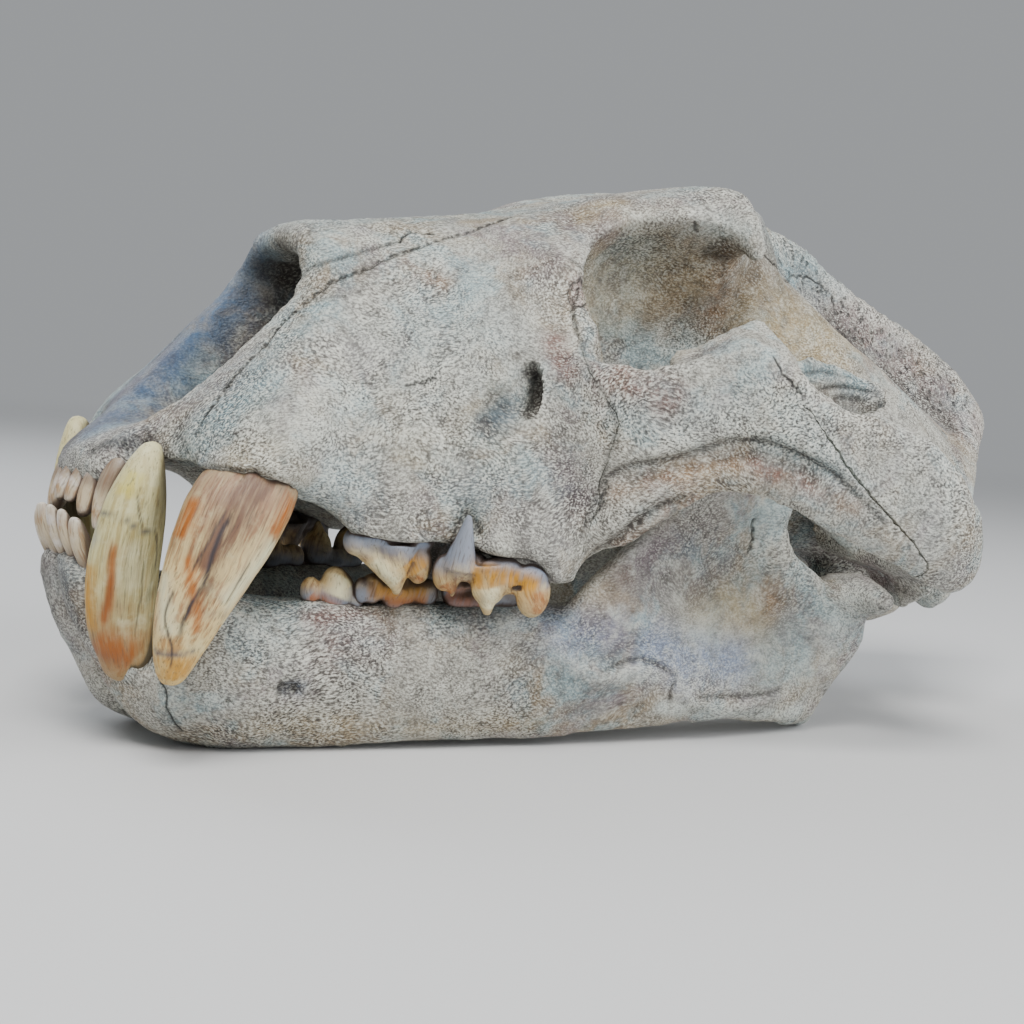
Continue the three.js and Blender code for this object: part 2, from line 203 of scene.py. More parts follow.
def numbersOf(items, name, kind=float, width=3):
    values = np.empty(width * len(items), kind)
    items.foreach_get(name, values)
    return values.reshape(-1, width) if width > 1 else values


# Reach of a press and of a painted mark in half widths, and how far a surface may face away from the line's
# own.
brush = {"pressReach": 2.6, "stainReach": 2.2, "sameFacing": 0.1, "fade": 0.12}


class Clay:
    def __init__(self, piece):
        self.piece = piece
        self.paints = {}
        self.read()

    def read(self):
        mesh = self.piece.data
        self.at = toSkull(numbersOf(mesh.vertices, "co"))
        self.edges = numbersOf(mesh.edges, "vertices", int, 2)
        self.degree = np.maximum(np.bincount(self.edges.ravel(), minlength=len(self.at)), 1)
        self.write()

    def write(self):
        mesh = self.piece.data
        mesh.vertices.foreach_set("co", toRow(self.at).ravel())
        mesh.update()
        self.normal = turnedToSkull(numbersOf(mesh.vertex_normals, "vector"))
        self.tree = None

    def surface(self):
        if self.tree is None:
            self.tree = BVHTree.FromObject(self.piece, bpy.context.evaluated_depsgraph_get())
        return self.tree

    def laid(self, line):
        found = [self.surface().find_nearest(Vector(p)) for p in toRow(line)]
        places = toSkull(np.array([f[0] for f in found]))
        facing = turnedToSkull(np.array([f[1] for f in found]))
        return places, facing

    def around(self, values):
        a, b = self.edges.T
        count = len(values)
        total = np.stack([np.bincount(a, values[b, k], count) + np.bincount(b, values[a, k], count)
                          for k in range(values.shape[1])], -1)
        return total / self.degree[:, None]

    def relaxed(self, values, rounds, share=0.5):
        for _ in range(rounds):
            values = values + share * (self.around(values) - values)
        return values

    def soften(self, rounds, keep):
        shift = self.relaxed(self.at, rounds) - self.at
        shift -= self.relaxed(shift, rounds)
        size = np.linalg.norm(shift, axis=1, keepdims=True)
        self.at = self.at + shift * self.relaxed(1 / (1 + (size / keep) ** 4), 3)
        self.write()

    def refine(self, wanted):
        mesh = self.piece.data
        corners = numbersOf(mesh.loops, "vertex_index", int, 1)
        starts = numbersOf(mesh.polygons, "loop_start", int, 1)
        chosen = np.logical_and.reduceat(wanted[corners], starts)
        for items, flags in ((mesh.vertices, False), (mesh.edges, False), (mesh.polygons, chosen)):
            items.foreach_set("select", np.array(np.broadcast_to(flags, len(items)), bool))
        bpy.context.tool_settings.mesh_select_mode = (False, False, True)
        pick(self.piece)
        bpy.ops.object.mode_set(mode="EDIT")
        bpy.ops.mesh.subdivide(number_cuts=1, smoothness=0.0)
        bpy.ops.object.mode_set(mode="OBJECT")
        self.read()

    def near(self, line, reach):
        low, high = line.min(0) - reach, line.max(0) + reach
        index = np.nonzero(((self.at > low) & (self.at < high)).all(1))[0]
        p = self.at[index]
        away = np.full(len(index), 1e9)
        along = np.zeros(len(index))
        pairs = list(zip(line, line[1:])) or [(line[0], line[0] + 1e-6)]
        for k, (a, b) in enumerate(pairs):
            t = np.clip((p - a) @ (b - a) / ((b - a) @ (b - a) + 1e-12), 0, 1)
            d = np.linalg.norm(p - a - t[:, None] * (b - a), axis=1)
            closer = d < away
            away[closer] = d[closer]
            along[closer] = (k + t[closer]) / len(pairs)
        keep = away < reach
        return index[keep], away[keep], along[keep]

    def press(self, line, width, height, fade=brush["fade"]):
        places, facing = self.laid(line)
        index, away, along = self.near(places, brush["pressReach"] * width)
        nearest = np.minimum((along * len(places)).astype(int), len(places) - 1)
        same = (self.normal[index] * facing[nearest]).sum(1) > brush["sameFacing"]  # not through a thin wall
        ends = np.clip(np.minimum(along, 1 - along) / fade, 0, 1) if fade else 1.0
        share = same * ends * np.exp(-(away / width) ** 2)
        self.at[index] += self.normal[index] * (height * share)[:, None]
        return index, share

    def paint(self, name, index, share):
        layer = self.paints.setdefault(name, np.zeros(len(self.at)))
        layer[index] = np.maximum(layer[index], share)

    def stain(self, guide, name, line, width, share):
        places, facing = guide.laid(line)
        index, away, along = self.near(places, brush["stainReach"] * width)
        self.paint(name, index, share * np.exp(-(away / width) ** 2))

    def store(self):
        for name, layer in self.paints.items():
            kept = self.piece.data.attributes.new(name, "FLOAT", "POINT")
            kept.data.foreach_set("value", layer.astype(np.float32))


# Shader sums: a wire wraps a socket, and the usual signs add Math nodes.
class Wire:
    def __init__(self, finish, socket):
        self.finish = finish
        self.socket = socket

    def math(self, operation, *values):
        return self.finish.add("Math", {"operation": operation}, dict(enumerate(values)))

    def __add__(self, other):
        return self.math("ADD", self, other)

    def __sub__(self, other):
        return self.math("SUBTRACT", self, other)

    def __rsub__(self, other):
        return self.math("SUBTRACT", other, self)

    def __mul__(self, other):
        return self.math("MULTIPLY", self, other)

    def __truediv__(self, other):
        return self.math("DIVIDE", self, other)

    __radd__ = __add__
    __rmul__ = __mul__

    def between(self, low, high):
        return self.finish.add("MapRange", {"interpolation_type": "SMOOTHSTEP"},
                               {"Value": self, "From Min": low, "From Max": high})


def tone(red, green, blue):
    return tuple(((c / 255 + 0.055) / 1.055) ** 2.4 if c > 10 else c / 255 / 12.92
                 for c in (red, green, blue)) + (1,)


class Finish:
    def __init__(self, name):
        self.material = bpy.data.materials.new(name)
        self.material.use_nodes = True
        self.shader = self.material.node_tree.nodes["Principled BSDF"]
        self.place = self.add("TexCoord", out="Object")

    def add(self, kind, settings=None, sockets=None, out=0):
        node = self.material.node_tree.nodes.new("ShaderNode" + kind)
        for key, value in (settings or {}).items():
            setattr(node, key, value)
        for key, value in (sockets or {}).items():
            self.feed(node.inputs[key], value)
        return Wire(self, node.outputs[out])

    def feed(self, socket, value):
        if isinstance(value, Wire):
            self.material.node_tree.links.new(value.socket, socket)
        else:
            socket.default_value = value

    def shade(self, values):
        for name, value in values.items():
            self.feed(self.shader.inputs[name], value)

    # Tones laid one over the other, each with its share at every point.
    def layered(self, colour, layers):
        for over, share in layers:
            colour = self.add("Mix", {"data_type": "RGBA"}, {0: share, 6: colour, 7: over}, out=2)
        return colour

    def vector(self, operation, *values):
        return self.add("VectorMath", {"operation": operation}, dict(enumerate(values)))

    def noise(self, place, size, detail=3, rough=0.5, seed=0.0):
        place = self.vector("ADD", place, (seed, 0.7 * seed, 1.3 * seed)) if seed else place
        return self.add("TexNoise", None, {"Vector": place, "Scale": 1000 / size, "Detail": detail,
                                           "Roughness": rough})

    def warped(self, place, size, amount):
        swirl = {"Vector": place, "Scale": 1000 / size, "Detail": 2}
        swirl = self.add("TexNoise", None, swirl, out="Color")
        shift = self.vector("SUBTRACT", swirl, (0.5, 0.5, 0.5))
        return self.vector("ADD", place, self.vector("MULTIPLY", shift, (amount,) * 3))

    def layer(self, name, out="Fac"):
        return self.add("Attribute", {"attribute_name": name}, out=out)

    def bumped(self, height, distance, strength):
        bump = {"Height": height, "Distance": distance, "Strength": strength}
        self.shade({"Normal": self.add("Bump", None, bump)})


# Camera, floor and light.
view = {"place": (-0.4029, -0.50375, 0.12387), "ahead": (0.58368, 0.80786, -0.08175),
        "up": (-0.01195, 0.10921, 0.99395), "lens": 60.74}
lamps = {
    "key": {"place": (-0.6, -0.7, 1.35), "size": 0.7, "watts": 27, "colour": (1.0, 0.99, 0.97)},
    "fill": {"place": (0.9, -1.1, 0.7), "size": 1.4, "watts": 24, "colour": (0.96, 0.98, 1.0)},
    "back": {"place": (-0.3, 1.2, 1.1), "size": 1.2, "watts": 12, "colour": (0.9, 0.95, 1.0)},
}
studio = {"air": (0.84, 0.87, 0.9), "airShare": 0.42, "lampsAimAt": (0, 0, 0.08),
          "paper": (0.62, 0.62, 0.62), "paperRoughness": 0.9, "floorSize": 24, "thinsOut": (0.5, 3.2)}


def addCamera():
    ahead, up = Vector(view["ahead"]).normalized(), Vector(view["up"])
    side = ahead.cross(up).normalized()
    up = side.cross(ahead)
    bpy.ops.object.camera_add(location=view["place"])
    camera = bpy.context.object
    camera.rotation_euler = Matrix((side, up, -ahead)).transposed().to_euler()
    camera.data.lens = view["lens"]
    bpy.context.scene.camera = camera


def addLights():
    for name, lamp in lamps.items():
        bpy.ops.object.light_add(type="AREA", location=lamp["place"])
        light = bpy.context.object
        light.name = name + "Lamp"
        light.data.size = lamp["size"]
        light.data.energy = lamp["watts"]
        light.data.color = lamp["colour"]
        toward = Vector(studio["lampsAimAt"]) - Vector(lamp["place"])
        light.rotation_euler = toward.to_track_quat("-Z", "Y").to_euler()
    world = bpy.data.worlds.new("studio")
    bpy.context.scene.world = world
    world.use_nodes = True
    world.node_tree.nodes["Background"].inputs["Color"].default_value = (*studio["air"], 1)
    world.node_tree.nodes["Background"].inputs["Strength"].default_value = studio["airShare"]


# A wide sheet of paper that thins out into the air, so that no edge shows behind the skull.
def addFloor():
    floor = added(bpy.ops.mesh.primitive_circle_add, vertices=96, radius=studio["floorSize"] / 2,
                  fill_type="NGON")
    floor.name = "studioFloor"
    paper = Finish("palePaper")
    paper.shade({"Base Color": (*studio["paper"], 1), "Roughness": studio["paperRoughness"]})
    away = paper.add("VectorMath", {"operation": "LENGTH"}, {0: paper.place}, out="Value")
    both = paper.add("MixShader", None, {0: away.between(*studio["thinsOut"]),
                                         1: Wire(paper, paper.shader.outputs["BSDF"]),
                                         2: paper.add("BsdfTransparent")})
    paper.feed(paper.material.node_tree.nodes["Material Output"].inputs["Surface"], both)
    floor.data.materials.append(paper.material)


addCamera()
addLights()
addFloor()
print("studio ready")

# Cranium and cheekbones: one mass of clay, parted later along the real seams.
craniumClay = {"voxel": 0.0028, "rounds": 28, "keep": 1.6}
jawClay = {"voxel": 0.0024, "rounds": 34, "keep": 1.4}

# The plain CAD teeth are pressed flat against the gum, because modelled teeth take their place.
upperGums = [
    {"x": (70, 142), "y": (45, 82), "down": True,
     "gum": [(80, 75.5), (98, 76.5), (104, 79), (110, 76.5), (124, 75.5), (130, 73.5), (136, 69.5)]},
    {"x": (-20, 15), "y": (-1, 22), "gum": [(0, 80), (15, 81)], "down": True},
    {"x": (0, 62), "y": (27, 68), "gum": [(18, 89), (30, 89.5), (45, 87.5), (54, 84.5)], "down": True,
     "root": (37, 49)},
]
lowerGums = [
    {"x": (64, 144), "y": (35, 57), "gum": [(72, 53.5), (90, 55.5), (110, 58), (130, 60)], "down": False},
    {"x": (-20, 14), "y": (-1, 11), "gum": [(0, 58), (14, 58)], "down": False},
    {"x": (-20, 34), "y": (11, 44), "down": False, "root": (20, 18), "stray": (14, 16, 28),
     "gum": [(0, 52), (4, 46), (9, 37), (14, 31.5), (20, 27), (32, 26.5)]},
]
gumDepth, rootPull = 0.3, 0.6            # what lies deeper than this is drawn in towards the tooth's root

# Clay that is laid on before the masses are worked, on both sides alike.
craniumLumps = {
    "round": [((132, -55.5, 127), (9, 7, 12)),
              ((206, -60.5, 198), (6, 5, 8)), ((208.5, -63, 192.5), (4.6, 4, 6)),
              ((187.5, -92.5, 159.5), (5.4, 4.4, 7)), ((183, -90, 156), (6, 4.4, 7)),
              ((177.5, -86, 151), (7, 4.4, 7)), ((170, -81, 146.5), (8, 4.4, 6)),
              ((192.5, -95.5, 155), (5.4, 4.4, 7)), ((196, -99.5, 149), (6, 4.6, 8)),
              ((7.5, -4, 84), (6.5, 4.6, 5.5)), ((8.6, -10.6, 83.4), (6.5, 4.8, 5.5)),
              ((13, -17, 84), (6.5, 5, 5.5)),
              ((67, 5, 165), (5, 4, 5)), ((70, 8, 162), (4.4, 3.6, 4.6))],
    "spike": []}
jawLumps = {
    "round": [((240, -67, 152), (13, 3.2, 9)), ((263, -67, 150), (19, 3.2, 8)),
              ((7.2, -3.3, 54.5), (5.6, 4, 6)), ((8, -8.7, 54.5), (5.6, 4, 6)),
              ((9.6, -13.4, 53.5), (5.6, 4.4, 6))],
    "spike": [((262, -60, 108), (296, -72, 84), 6)]}


def pressTeethFlat(piece, gums):
    mesh = piece.data
    at = toSkull(numbersOf(mesh.vertices, "co"))
    x, y, z = at[:, 0], np.abs(at[:, 1]), at[:, 2]
    for zone in gums:
        inside = (x > zone["x"][0]) & (x < zone["x"][1]) & (y > zone["y"][0]) & (y < zone["y"][1])
        gum = np.interp(x, *np.array(zone["gum"], float).T)
        beyond = inside & ((z < gum) if zone["down"] else (z > gum))
        at[beyond, 2] = gum[beyond]
        if "root" in zone:
            middle = np.stack([np.full(len(x), zone["root"][0]), zone["root"][1] * np.sign(at[:, 1])], -1)
            inner = beyond & (np.abs(z - gum) > gumDepth)
            if "stray" in zone:
                front, side, low = zone["stray"]
                inner |= inside & (x < front) & (y > side) & (z > low)
            at[inner, :2] = ((1 - rootPull) * at[:, :2] + rootPull * middle)[inner]
    mesh.vertices.foreach_set("co", toRow(at).ravel())
    mesh.update()


def boneMass(name, nodes, gums, laidOn, sides, settings):
    piece = copyOfNodes(name, nodes)
    pressTeethFlat(piece, gums)
    piece = joinAs(name, [piece] + [lump for side in sides for lump in lumps(laidOn, side)])
    modify(piece, "REMESH", mode="VOXEL", voxel_size=settings["voxel"], adaptivity=0.0)
    clay = Clay(piece)
    clay.soften(settings["rounds"], settings["keep"])
    return clay


# Every form and stroke: its line on the left side, its half width and its height over the surface.
craniumForms = [
    ([(45, -55, 95), (60, -53, 118), (75, -50, 140)], 14, 2.2),       # bulge over the canine's root
    ([(95, -58, 110), (104, -60, 118)], 12, -1.6),                    # hollow in front of the cheek hole
    ([(105, -62, 113), (112, -64, 119), (119, -64, 126)], 6.5, -3.6),  # groove that runs out of it
    ([(66, 0, 169), (110, 0, 183), (150, 0, 196)], 8, -1.2),          # dip between the nose bones
    ([(165, 0, 205), (200, 0, 212)], 16, -2.5),                       # dip in the forehead
    ([(207, -59, 195), (235, -35, 210), (262, -3, 216)], 4, 1.2),     # line where the temple muscle began
    ([(166, -31, 186), (174, -42, 192), (186, -54, 200), (207, -60, 195)], 3.5, 1.0),   # brow of the socket
    ([(143, -75, 90), (147, -81, 104), (155, -87, 109), (165, -93, 113), (178, -100, 119),
      (197, -110, 119), (219, -118, 109)], 4.5, -2.2),                # band under the cheekbone's edge
    ([(145, -79, 108), (155, -87, 115), (165, -93, 119), (178, -100, 126), (188, -105, 128),
      (197, -110, 126), (209, -115, 122), (219, -118, 116)], 3, 0.9),  # the edge over that band
    ([(24, -27, 105), (21, -32, 99), (21, -37, 93), (22, -40, 90)], 3, -1.6),  # step before the canine
    ([(18, -47, 92), (26, -57, 93), (38, -61, 92), (50, -58, 89)], 4, 1.3),   # rim of the canine's socket
    ([(90, -56, 80), (90, -55, 94)], 5, 0.9),                         # roots of the cheek teeth
    ([(128, -72, 78), (127, -71, 92)], 6, 0.9),
    ([(104, -60, 82), (107.6, -62, 89), (113, -64, 81)], 3, -2.0),    # notch round a bared root
    ([(127, -54, 168), (144, -49, 182), (160, -45, 192)], 6, 0.8),    # rough band before the socket
    ([(225, -40, 160), (250, -44, 150)], 16, 2.0),                    # swelling of the braincase
    ([(274, -2, 216), (310, -2, 199.5), (356, -2, 187), (398, -2, 173)], 5, 1.6),   # crest
    ([(300, -14, 190), (350, -18, 168), (395, -20, 150)], 12, -1.4),  # hollow flank of the crest
]
craniumFine = [
    ([(143, -75, 87), (145, -78, 101), (147, -81, 107), (155, -87, 112), (165, -93, 116), (178, -100, 123),
      (188, -105, 125), (197, -110, 123), (209, -115, 119), (219, -118, 113), (231, -121, 106)], 1.5, -1.1),
    ([(149, -71, 79), (153, -79, 85), (158, -85, 94), (163, -88, 100), (169, -92, 104)], 1.8, -1.6),
    ([(158, -80, 83), (164, -86, 91), (169, -91, 98)], 1.8, 0.9),     # ridge under the furrow
    ([(60, -23, 154), (75, -29, 162), (88, -31, 169)], 1.0, -0.5),
    ([(17, -46, 89.5), (22, -53, 90), (30, -58, 89.5), (38, -60, 89), (46, -59, 87),
      (54, -56, 84)], 1.3, -1.1),
    ([(74, -51, 79), (81, -53, 78), (88, -55, 77), (96, -57, 80), (101, -59, 80)], 1.5, -1.6),
    ([(104, -60, 80), (107, -62, 88), (111, -63, 84), (116, -65, 79), (127, -72, 77),
      (137, -75, 71)], 1.6, -1.8),
    ([(139, -59, 165), (141, -55, 170), (137, -53, 172)], 1.2, 0.5),
    ([(59, -20, 152), (61, -18, 159), (63, -15, 164), (67, -11, 168)], 2.0, 1.0),  # nose bone's front edge
]
# Cracks: line, half width, depth, how much they wander.
craniumCracks = [
    ([(132, -25, 188), (130, -26, 187), (113, -32, 179), (100, -34, 173), (88, -36, 167), (80, -36, 163),
      (73, -35, 158), (64, -32, 152), (57, -32, 145), (51, -31, 138), (46, -32, 130), (40, -32, 123),
      (35, -33, 116), (30, -36, 110), (24, -38, 101)], 0.42, -0.7, 0.3),
    ([(99, -31, 175), (95, -28, 173.5), (90, -28.5, 172), (86, -32, 168.5)], 0.6, -0.8, 0.6),
    ([(139, -59, 165), (136, -61, 159), (136, -64, 153), (138, -66, 148)], 0.6, -1.0, 0.6),
    ([(146, -80, 105), (145, -79, 97), (143, -77, 90)], 0.4, -0.5, 0.4),
    ([(140, -58, 169), (136, -59, 165), (135, -61, 160), (139, -60, 158), (142, -58, 162), (140, -58, 169)],
     0.45, -0.6, 0.5),
    ([(235, -38, 196), (244, -37, 194), (262, -30, 196), (290, -6, 199), (306, -4, 194), (310, -5, 188)],
     0.35, -0.5, 0.3),
    ([(187, -54, 197), (190, -53, 194)], 0.4, -0.4, 0.3),
    ([(84, -53, 124), (93, -55, 128)], 0.3, -0.3, 0.4),
    ([(194, -111, 142), (188, -108, 147), (185, -104, 152)], 0.3, -0.3, 0.4),
]
# Small holes: place, half width, depth.
craniumPits = [
    ((94, -43, 160), 1.0, -0.9), ((118, -54, 158), 0.9, -0.9), ((59, -37, 142), 0.9, -0.8),
    ((67, -36, 148), 0.7, -0.5), ((18, -17, 101), 0.9, -0.7), ((24, -37, 102), 1.2, -0.9),
    ((24, -39, 99), 0.9, -0.8), ((46, -33, 128), 1.1, -0.9), ((35, -34, 115), 1.1, -0.9),
]

jawForms = [
    ([(140, -60, 54), (164, -66, 41), (183, -68, 46), (200, -68, 43)], 3.6, 1.8),  # ledge of the jaw muscle
    ([(198, -67, 39), (217, -67, 34), (238, -67, 36), (257, -67, 44)], 3, 1.4),
    ([(166, -67, 47), (190, -68, 52), (222, -68, 46), (245, -68, 50)], 9, -2.2),  # hollow above the ledge
    ([(150, -63, 62), (166, -67, 78), (182, -67, 92)], 3, 1.2),       # front edge of the jaw's branch
    ([(185, -67, 70), (215, -67, 80)], 14, -1.0),
    ([(4, -6, 47), (9, -9, 38), (14, -12, 31), (20, -19, 26), (26, -27, 26)], 3, 1.0),  # canine's rim
    ([(28, -32, 30), (50, -42, 38), (70, -44, 40)], 8, -0.8),
    ([(62, -44, 27), (68, -44, 26)], 3, -0.8),                        # dent at the chin hole
    ([(66, -40, 53), (86, -43, 55)], 3, 0.8),
]
jawFine = [
    ([(167, -66, 42.5), (174, -67, 46), (183, -68, 48.5), (192, -68, 47), (200, -68, 44)], 1.6, -1.3),
    ([(200, -68, 43), (199, -66, 38), (201, -65, 34)], 0.9, -0.7),
    ([(212, -67, 37), (238, -67, 39), (248, -68, 42)], 1.2, -0.6),
    ([(240, -69, 149), (255, -69, 152), (268, -69, 152.5), (274, -69, 153)], 0.9, -1.0),
    ([(232, -69, 153), (246, -69, 156), (258, -69, 156)], 0.8, -0.5),
    ([(252, -69, 148), (266, -69, 149)], 0.8, -0.5),
]
jawCracks = [
    ([(223, -68, 101), (223, -68, 98), (225, -67, 94), (224, -67, 89)], 0.7, -1.1, 0.5),
    ([(28, -30, 25), (31, -31, 22), (33, -30, 16), (40, -28, 9)], 0.35, -0.35, 0.4),
]
jawPits = [((63, -44, 27), 1.4, -2.0), ((47, -40, 21), 1.1, -1.2), ((56, -43, 45), 0.7, -0.7),
           ((183, -69, 54), 0.7, -0.6), ((50, -41, 24), 0.8, -0.5)]


# Steps along a line in mm, and the share of a line over which it fades out at each end.
lineSteps = {"form": 2.0, "crack": 0.8, "refined": 1.5, "stain": 2.0, "seam": 1.5}
lineFades = {"form": 0.2, "crack": 0.06}


def addForms(clay, forms):
    for line, width, height in forms:
        for side in bothSides(line):
            clay.press(smoothLine(side, lineSteps["form"]), width, height, lineFades["form"])
    clay.write()


def addCracks(clay, cracks):
    for line, width, depth, wander in cracks:
        for side in bothSides(line):
            places = jagged(smoothLine(side, lineSteps["crack"]), wander)
            clay.press(places, width, depth, lineFades["crack"])
    clay.write()


def addPits(clay, pits):
    for place, width, depth in pits:
        for side in bothSides([place]):
            clay.press(np.array(side, float), width, depth, fade=0)
    clay.write()


def refineNear(clay, lines, reach):
    wanted = np.zeros(len(clay.at), bool)
    for line in lines:
        places, facing = clay.laid(smoothLine(line, lineSteps["refined"]))
        wanted[clay.near(places, reach)[0]] = True
    clay.refine(wanted)


# A hollow with a soft front and an undercut back wall: the cheek hole and the chin hole.
hollowShape = {"reach": 1.6, "sameFacing": -0.2, "roundness": 0.45, "frontDepth": 0.25, "slope": 1.5}


def hollow(clay, centre, back, halfSizes, depth, undercut):
    places, facing = clay.laid(np.array([centre], float))
    out, back = facing[0], np.array(back, float)
    back = back - out * (back @ out)
    back /= np.linalg.norm(back)
    up = np.cross(out, back)
    index, away, along = clay.near(places, hollowShape["reach"] * max(halfSizes))
    p = clay.at[index] - places[0]
    u, v = p @ back / halfSizes[0], p @ up / halfSizes[1]
    inside = np.clip(1 - u * u - v * v, 0, 1) * ((clay.normal[index] @ out) > hollowShape["sameFacing"])
    front = hollowShape["frontDepth"]
    slope = front + (1 - front) * np.clip((u + 1) / hollowShape["slope"], 0, 1)
    share = inside ** hollowShape["roundness"] * slope
    clay.at[index] += share[:, None] * (back * undercut - out * depth)
    clay.write()


def flattenHole(clay, centre, reach, rounds):
    index, away, along = clay.near(np.array([centre], float), reach)
    share = np.zeros((len(clay.at), 1))
    share[index, 0] = np.clip(1.6 * (1 - away / reach), 0, 1)
    for _ in range(rounds):
        clay.at += share * (clay.around(clay.at) - clay.at)
    clay.write()


# Fine unevenness of old bone, in three grain sizes: size, stretch along the skull, height.
boneGrain = [(13, 1.0, 0.45), (4.5, 0.7, 0.16), (1.9, 0.45, 0.13)]


def roughen(clay, grains, seed):
    height = np.zeros(len(clay.at))
    for k, (size, stretch, tall) in enumerate(grains):
        height += tall * noiseAt(clay.at * (stretch, 1, 1), size, 2, seed + k)
    clay.at += clay.normal * height[:, None]
    clay.write()


def keepInBox(clay):
    row = np.clip(toRow(clay.at), np.array(cadLow) + 1e-5, np.array(cadHigh) - 1e-5)
    row[:, 2] = np.where(row[:, 2] < 2e-4, 0, row[:, 2])
    clay.at = toSkull(row)
    clay.write()


# The side that the camera sees gets a finer mesh: its direction, and how far round it goes.
seenSide = {"facing": np.array([-0.58, -0.8, 0.1]), "cranium": -0.25, "jaw": -0.1, "past": 6, "behind": 300}
refined = {"lines": {"cranium": 2.4, "jaw": 2.2}, "cracks": 1.2}
softened = {"seen": (4, 1.0), "lines": (3, 0.5)}
cheekHole = {"place": (121.5, 63.5, 129), "back": (1, 0.6, 0.1), "halfSizes": (4.8, 9.2), "depth": 8,
             "undercut": 5.5, "cadHole": (131, 62, 127), "cadReach": 17, "rounds": 90}
chinHole = {"place": (65, 44, 26.5), "back": (1, 0, 0.2), "halfSizes": (3.6, 2.4), "depth": 2.0,
            "undercut": 1.0}


def onSide(place, sign):
    return place[0], sign * place[1], place[2]


def linesOf(*tables):
    return [line for table in tables for line, *rest in table]


def addHole(clay, hole, sign):
    hollow(clay, onSide(hole["place"], sign), onSide(hole["back"], sign), hole["halfSizes"], hole["depth"],
           hole["undercut"])


cranium = boneMass("craniumBone", ["cranium", "jugal_left", "jugal_right", "upper_canine_left",
                               "upper_canine_right"], upperGums, craniumLumps, (1, -1), craniumClay)
for sign in (-1, 1):
    flattenHole(cranium, onSide(cheekHole["cadHole"], sign), cheekHole["cadReach"], cheekHole["rounds"])
addForms(cranium, craniumForms)
seen = (cranium.at[:, 1] < seenSide["past"]) & (cranium.at[:, 0] < seenSide["behind"])
cranium.refine(seen & (cranium.normal @ seenSide["facing"] > seenSide["cranium"]))
cranium.soften(*softened["seen"])
pitLines = [[(x, y, z), (x + 1, y, z)] for (x, y, z), *rest in craniumPits]
refineNear(cranium, linesOf(craniumFine, craniumCracks) + pitLines, refined["lines"]["cranium"])
cranium.soften(*softened["lines"])
for sign in (-1, 1):
    addHole(cranium, cheekHole, sign)
addForms(cranium, craniumFine)
refineNear(cranium, linesOf(craniumCracks), refined["cracks"])
roughen(cranium, boneGrain, 3.0)
addCracks(cranium, craniumCracks)
addPits(cranium, craniumPits)
keepInBox(cranium)
cranium.surface()            # kept whole, so that stains find their place on the cheekbones too
print("cranium polygons", len(cranium.piece.data.polygons))

jaws = {}
for side in ("left", "right"):
    sign = 1 if side == "left" else -1               # the tables describe the left side
    jaw = boneMass("mandible" + side.title(), ["mandible_" + side, "lower_canine_" + side], lowerGums,
                   jawLumps, [sign], jawClay)
    addForms(jaw, jawForms)
    if side == "left":
        jaw.refine(jaw.normal @ seenSide["facing"] > seenSide["jaw"])
        jaw.soften(*softened["seen"])
    lines = [line if side == "left" else mirrored(line) for line in linesOf(jawFine, jawCracks)]
    refineNear(jaw, lines, refined["lines"]["jaw"])
    jaw.soften(*softened["lines"])
    addHole(jaw, chinHole, -sign)
    addForms(jaw, jawFine)
    refineNear(jaw, lines[len(jawFine):], refined["cracks"])
    roughen(jaw, boneGrain, 7.0 + sign)
    addCracks(jaw, jawCracks)
    addPits(jaw, jawPits)
    keepInBox(jaw)
    jaws[side] = jaw
    print("mandible", side, "polygons", len(jaw.piece.data.polygons))

# The cheekbones are cut free along their seams. Seen from the side: x, z, and the gap's width there.
# The block starts at a distance from the middle plane, and its outline grows from its middle by the gap.
cheekbone = {
    "seam": [(148, 50, 0.3), (145, 85, 0.3), (146.5, 97, 0.3), (145.3, 105, 0.3), (144.8, 112, 0.3),
             (144.8, 118, 0.3), (145, 123, 0.4), (142.6, 128, 0.4), (139, 133, 0.3),
             (136.4, 138, 0.3), (136.4, 143, 0.3), (139, 149, 0.3), (150, 176, 0.3),
             (186, 176, 0.3), (194, 142, 0.3), (198, 137, 0.4),
             (205, 129, 0.7), (213, 121, 1.0), (221, 115, 1.1), (230, 109, 1.2), (241, 102, 1.2),
             (249, 96.5, 1.2), (252.5, 93, 1.1), (251, 89, 1.0), (248, 86, 1.0), (247, 50, 1.0)],
    "inner": 67, "middle": (190, 105), "wander": 0.7, "gapInwards": 0.3, "deep": 0.08}


def cheekBlock(sign, gap):
    outline = []
    middle = np.array(cheekbone["middle"], float)
    for x, z, wide in cheekbone["seam"]:
        away = np.array((x, z)) - middle
        size = np.linalg.norm(away)
        outline.append((*(middle + away * (size + gap * wide) / size), wide))
    outline = smoothLine([(x, 0, z) for x, z, wide in outline + outline[:1]], lineSteps["seam"])[:-1]
    outline = outline + (jagged(outline, cheekbone["wander"], 2.0) - outline) * (1, 0, 1)
    block = added(bpy.ops.mesh.primitive_circle_add, vertices=len(outline), fill_type="NGON")
    for vertex, (x, y, z) in zip(block.data.vertices, outline):
        vertex.co = toRow((x, sign * (cheekbone["inner"] - gap * cheekbone["gapInwards"]), z))
    out = {"TRANSFORM_OT_translate": {"value": (0, sign * cheekbone["deep"], 0)}}
    onWholeMesh(block, (bpy.ops.mesh.extrude_region_move, out), turnOutwards)
    return block


def cutWith(piece, operation, sign, gap):
    block = cheekBlock(sign, gap)
    modify(piece, "BOOLEAN", operation=operation, object=block, solver="MANIFOLD")
    bpy.data.objects.remove(block)


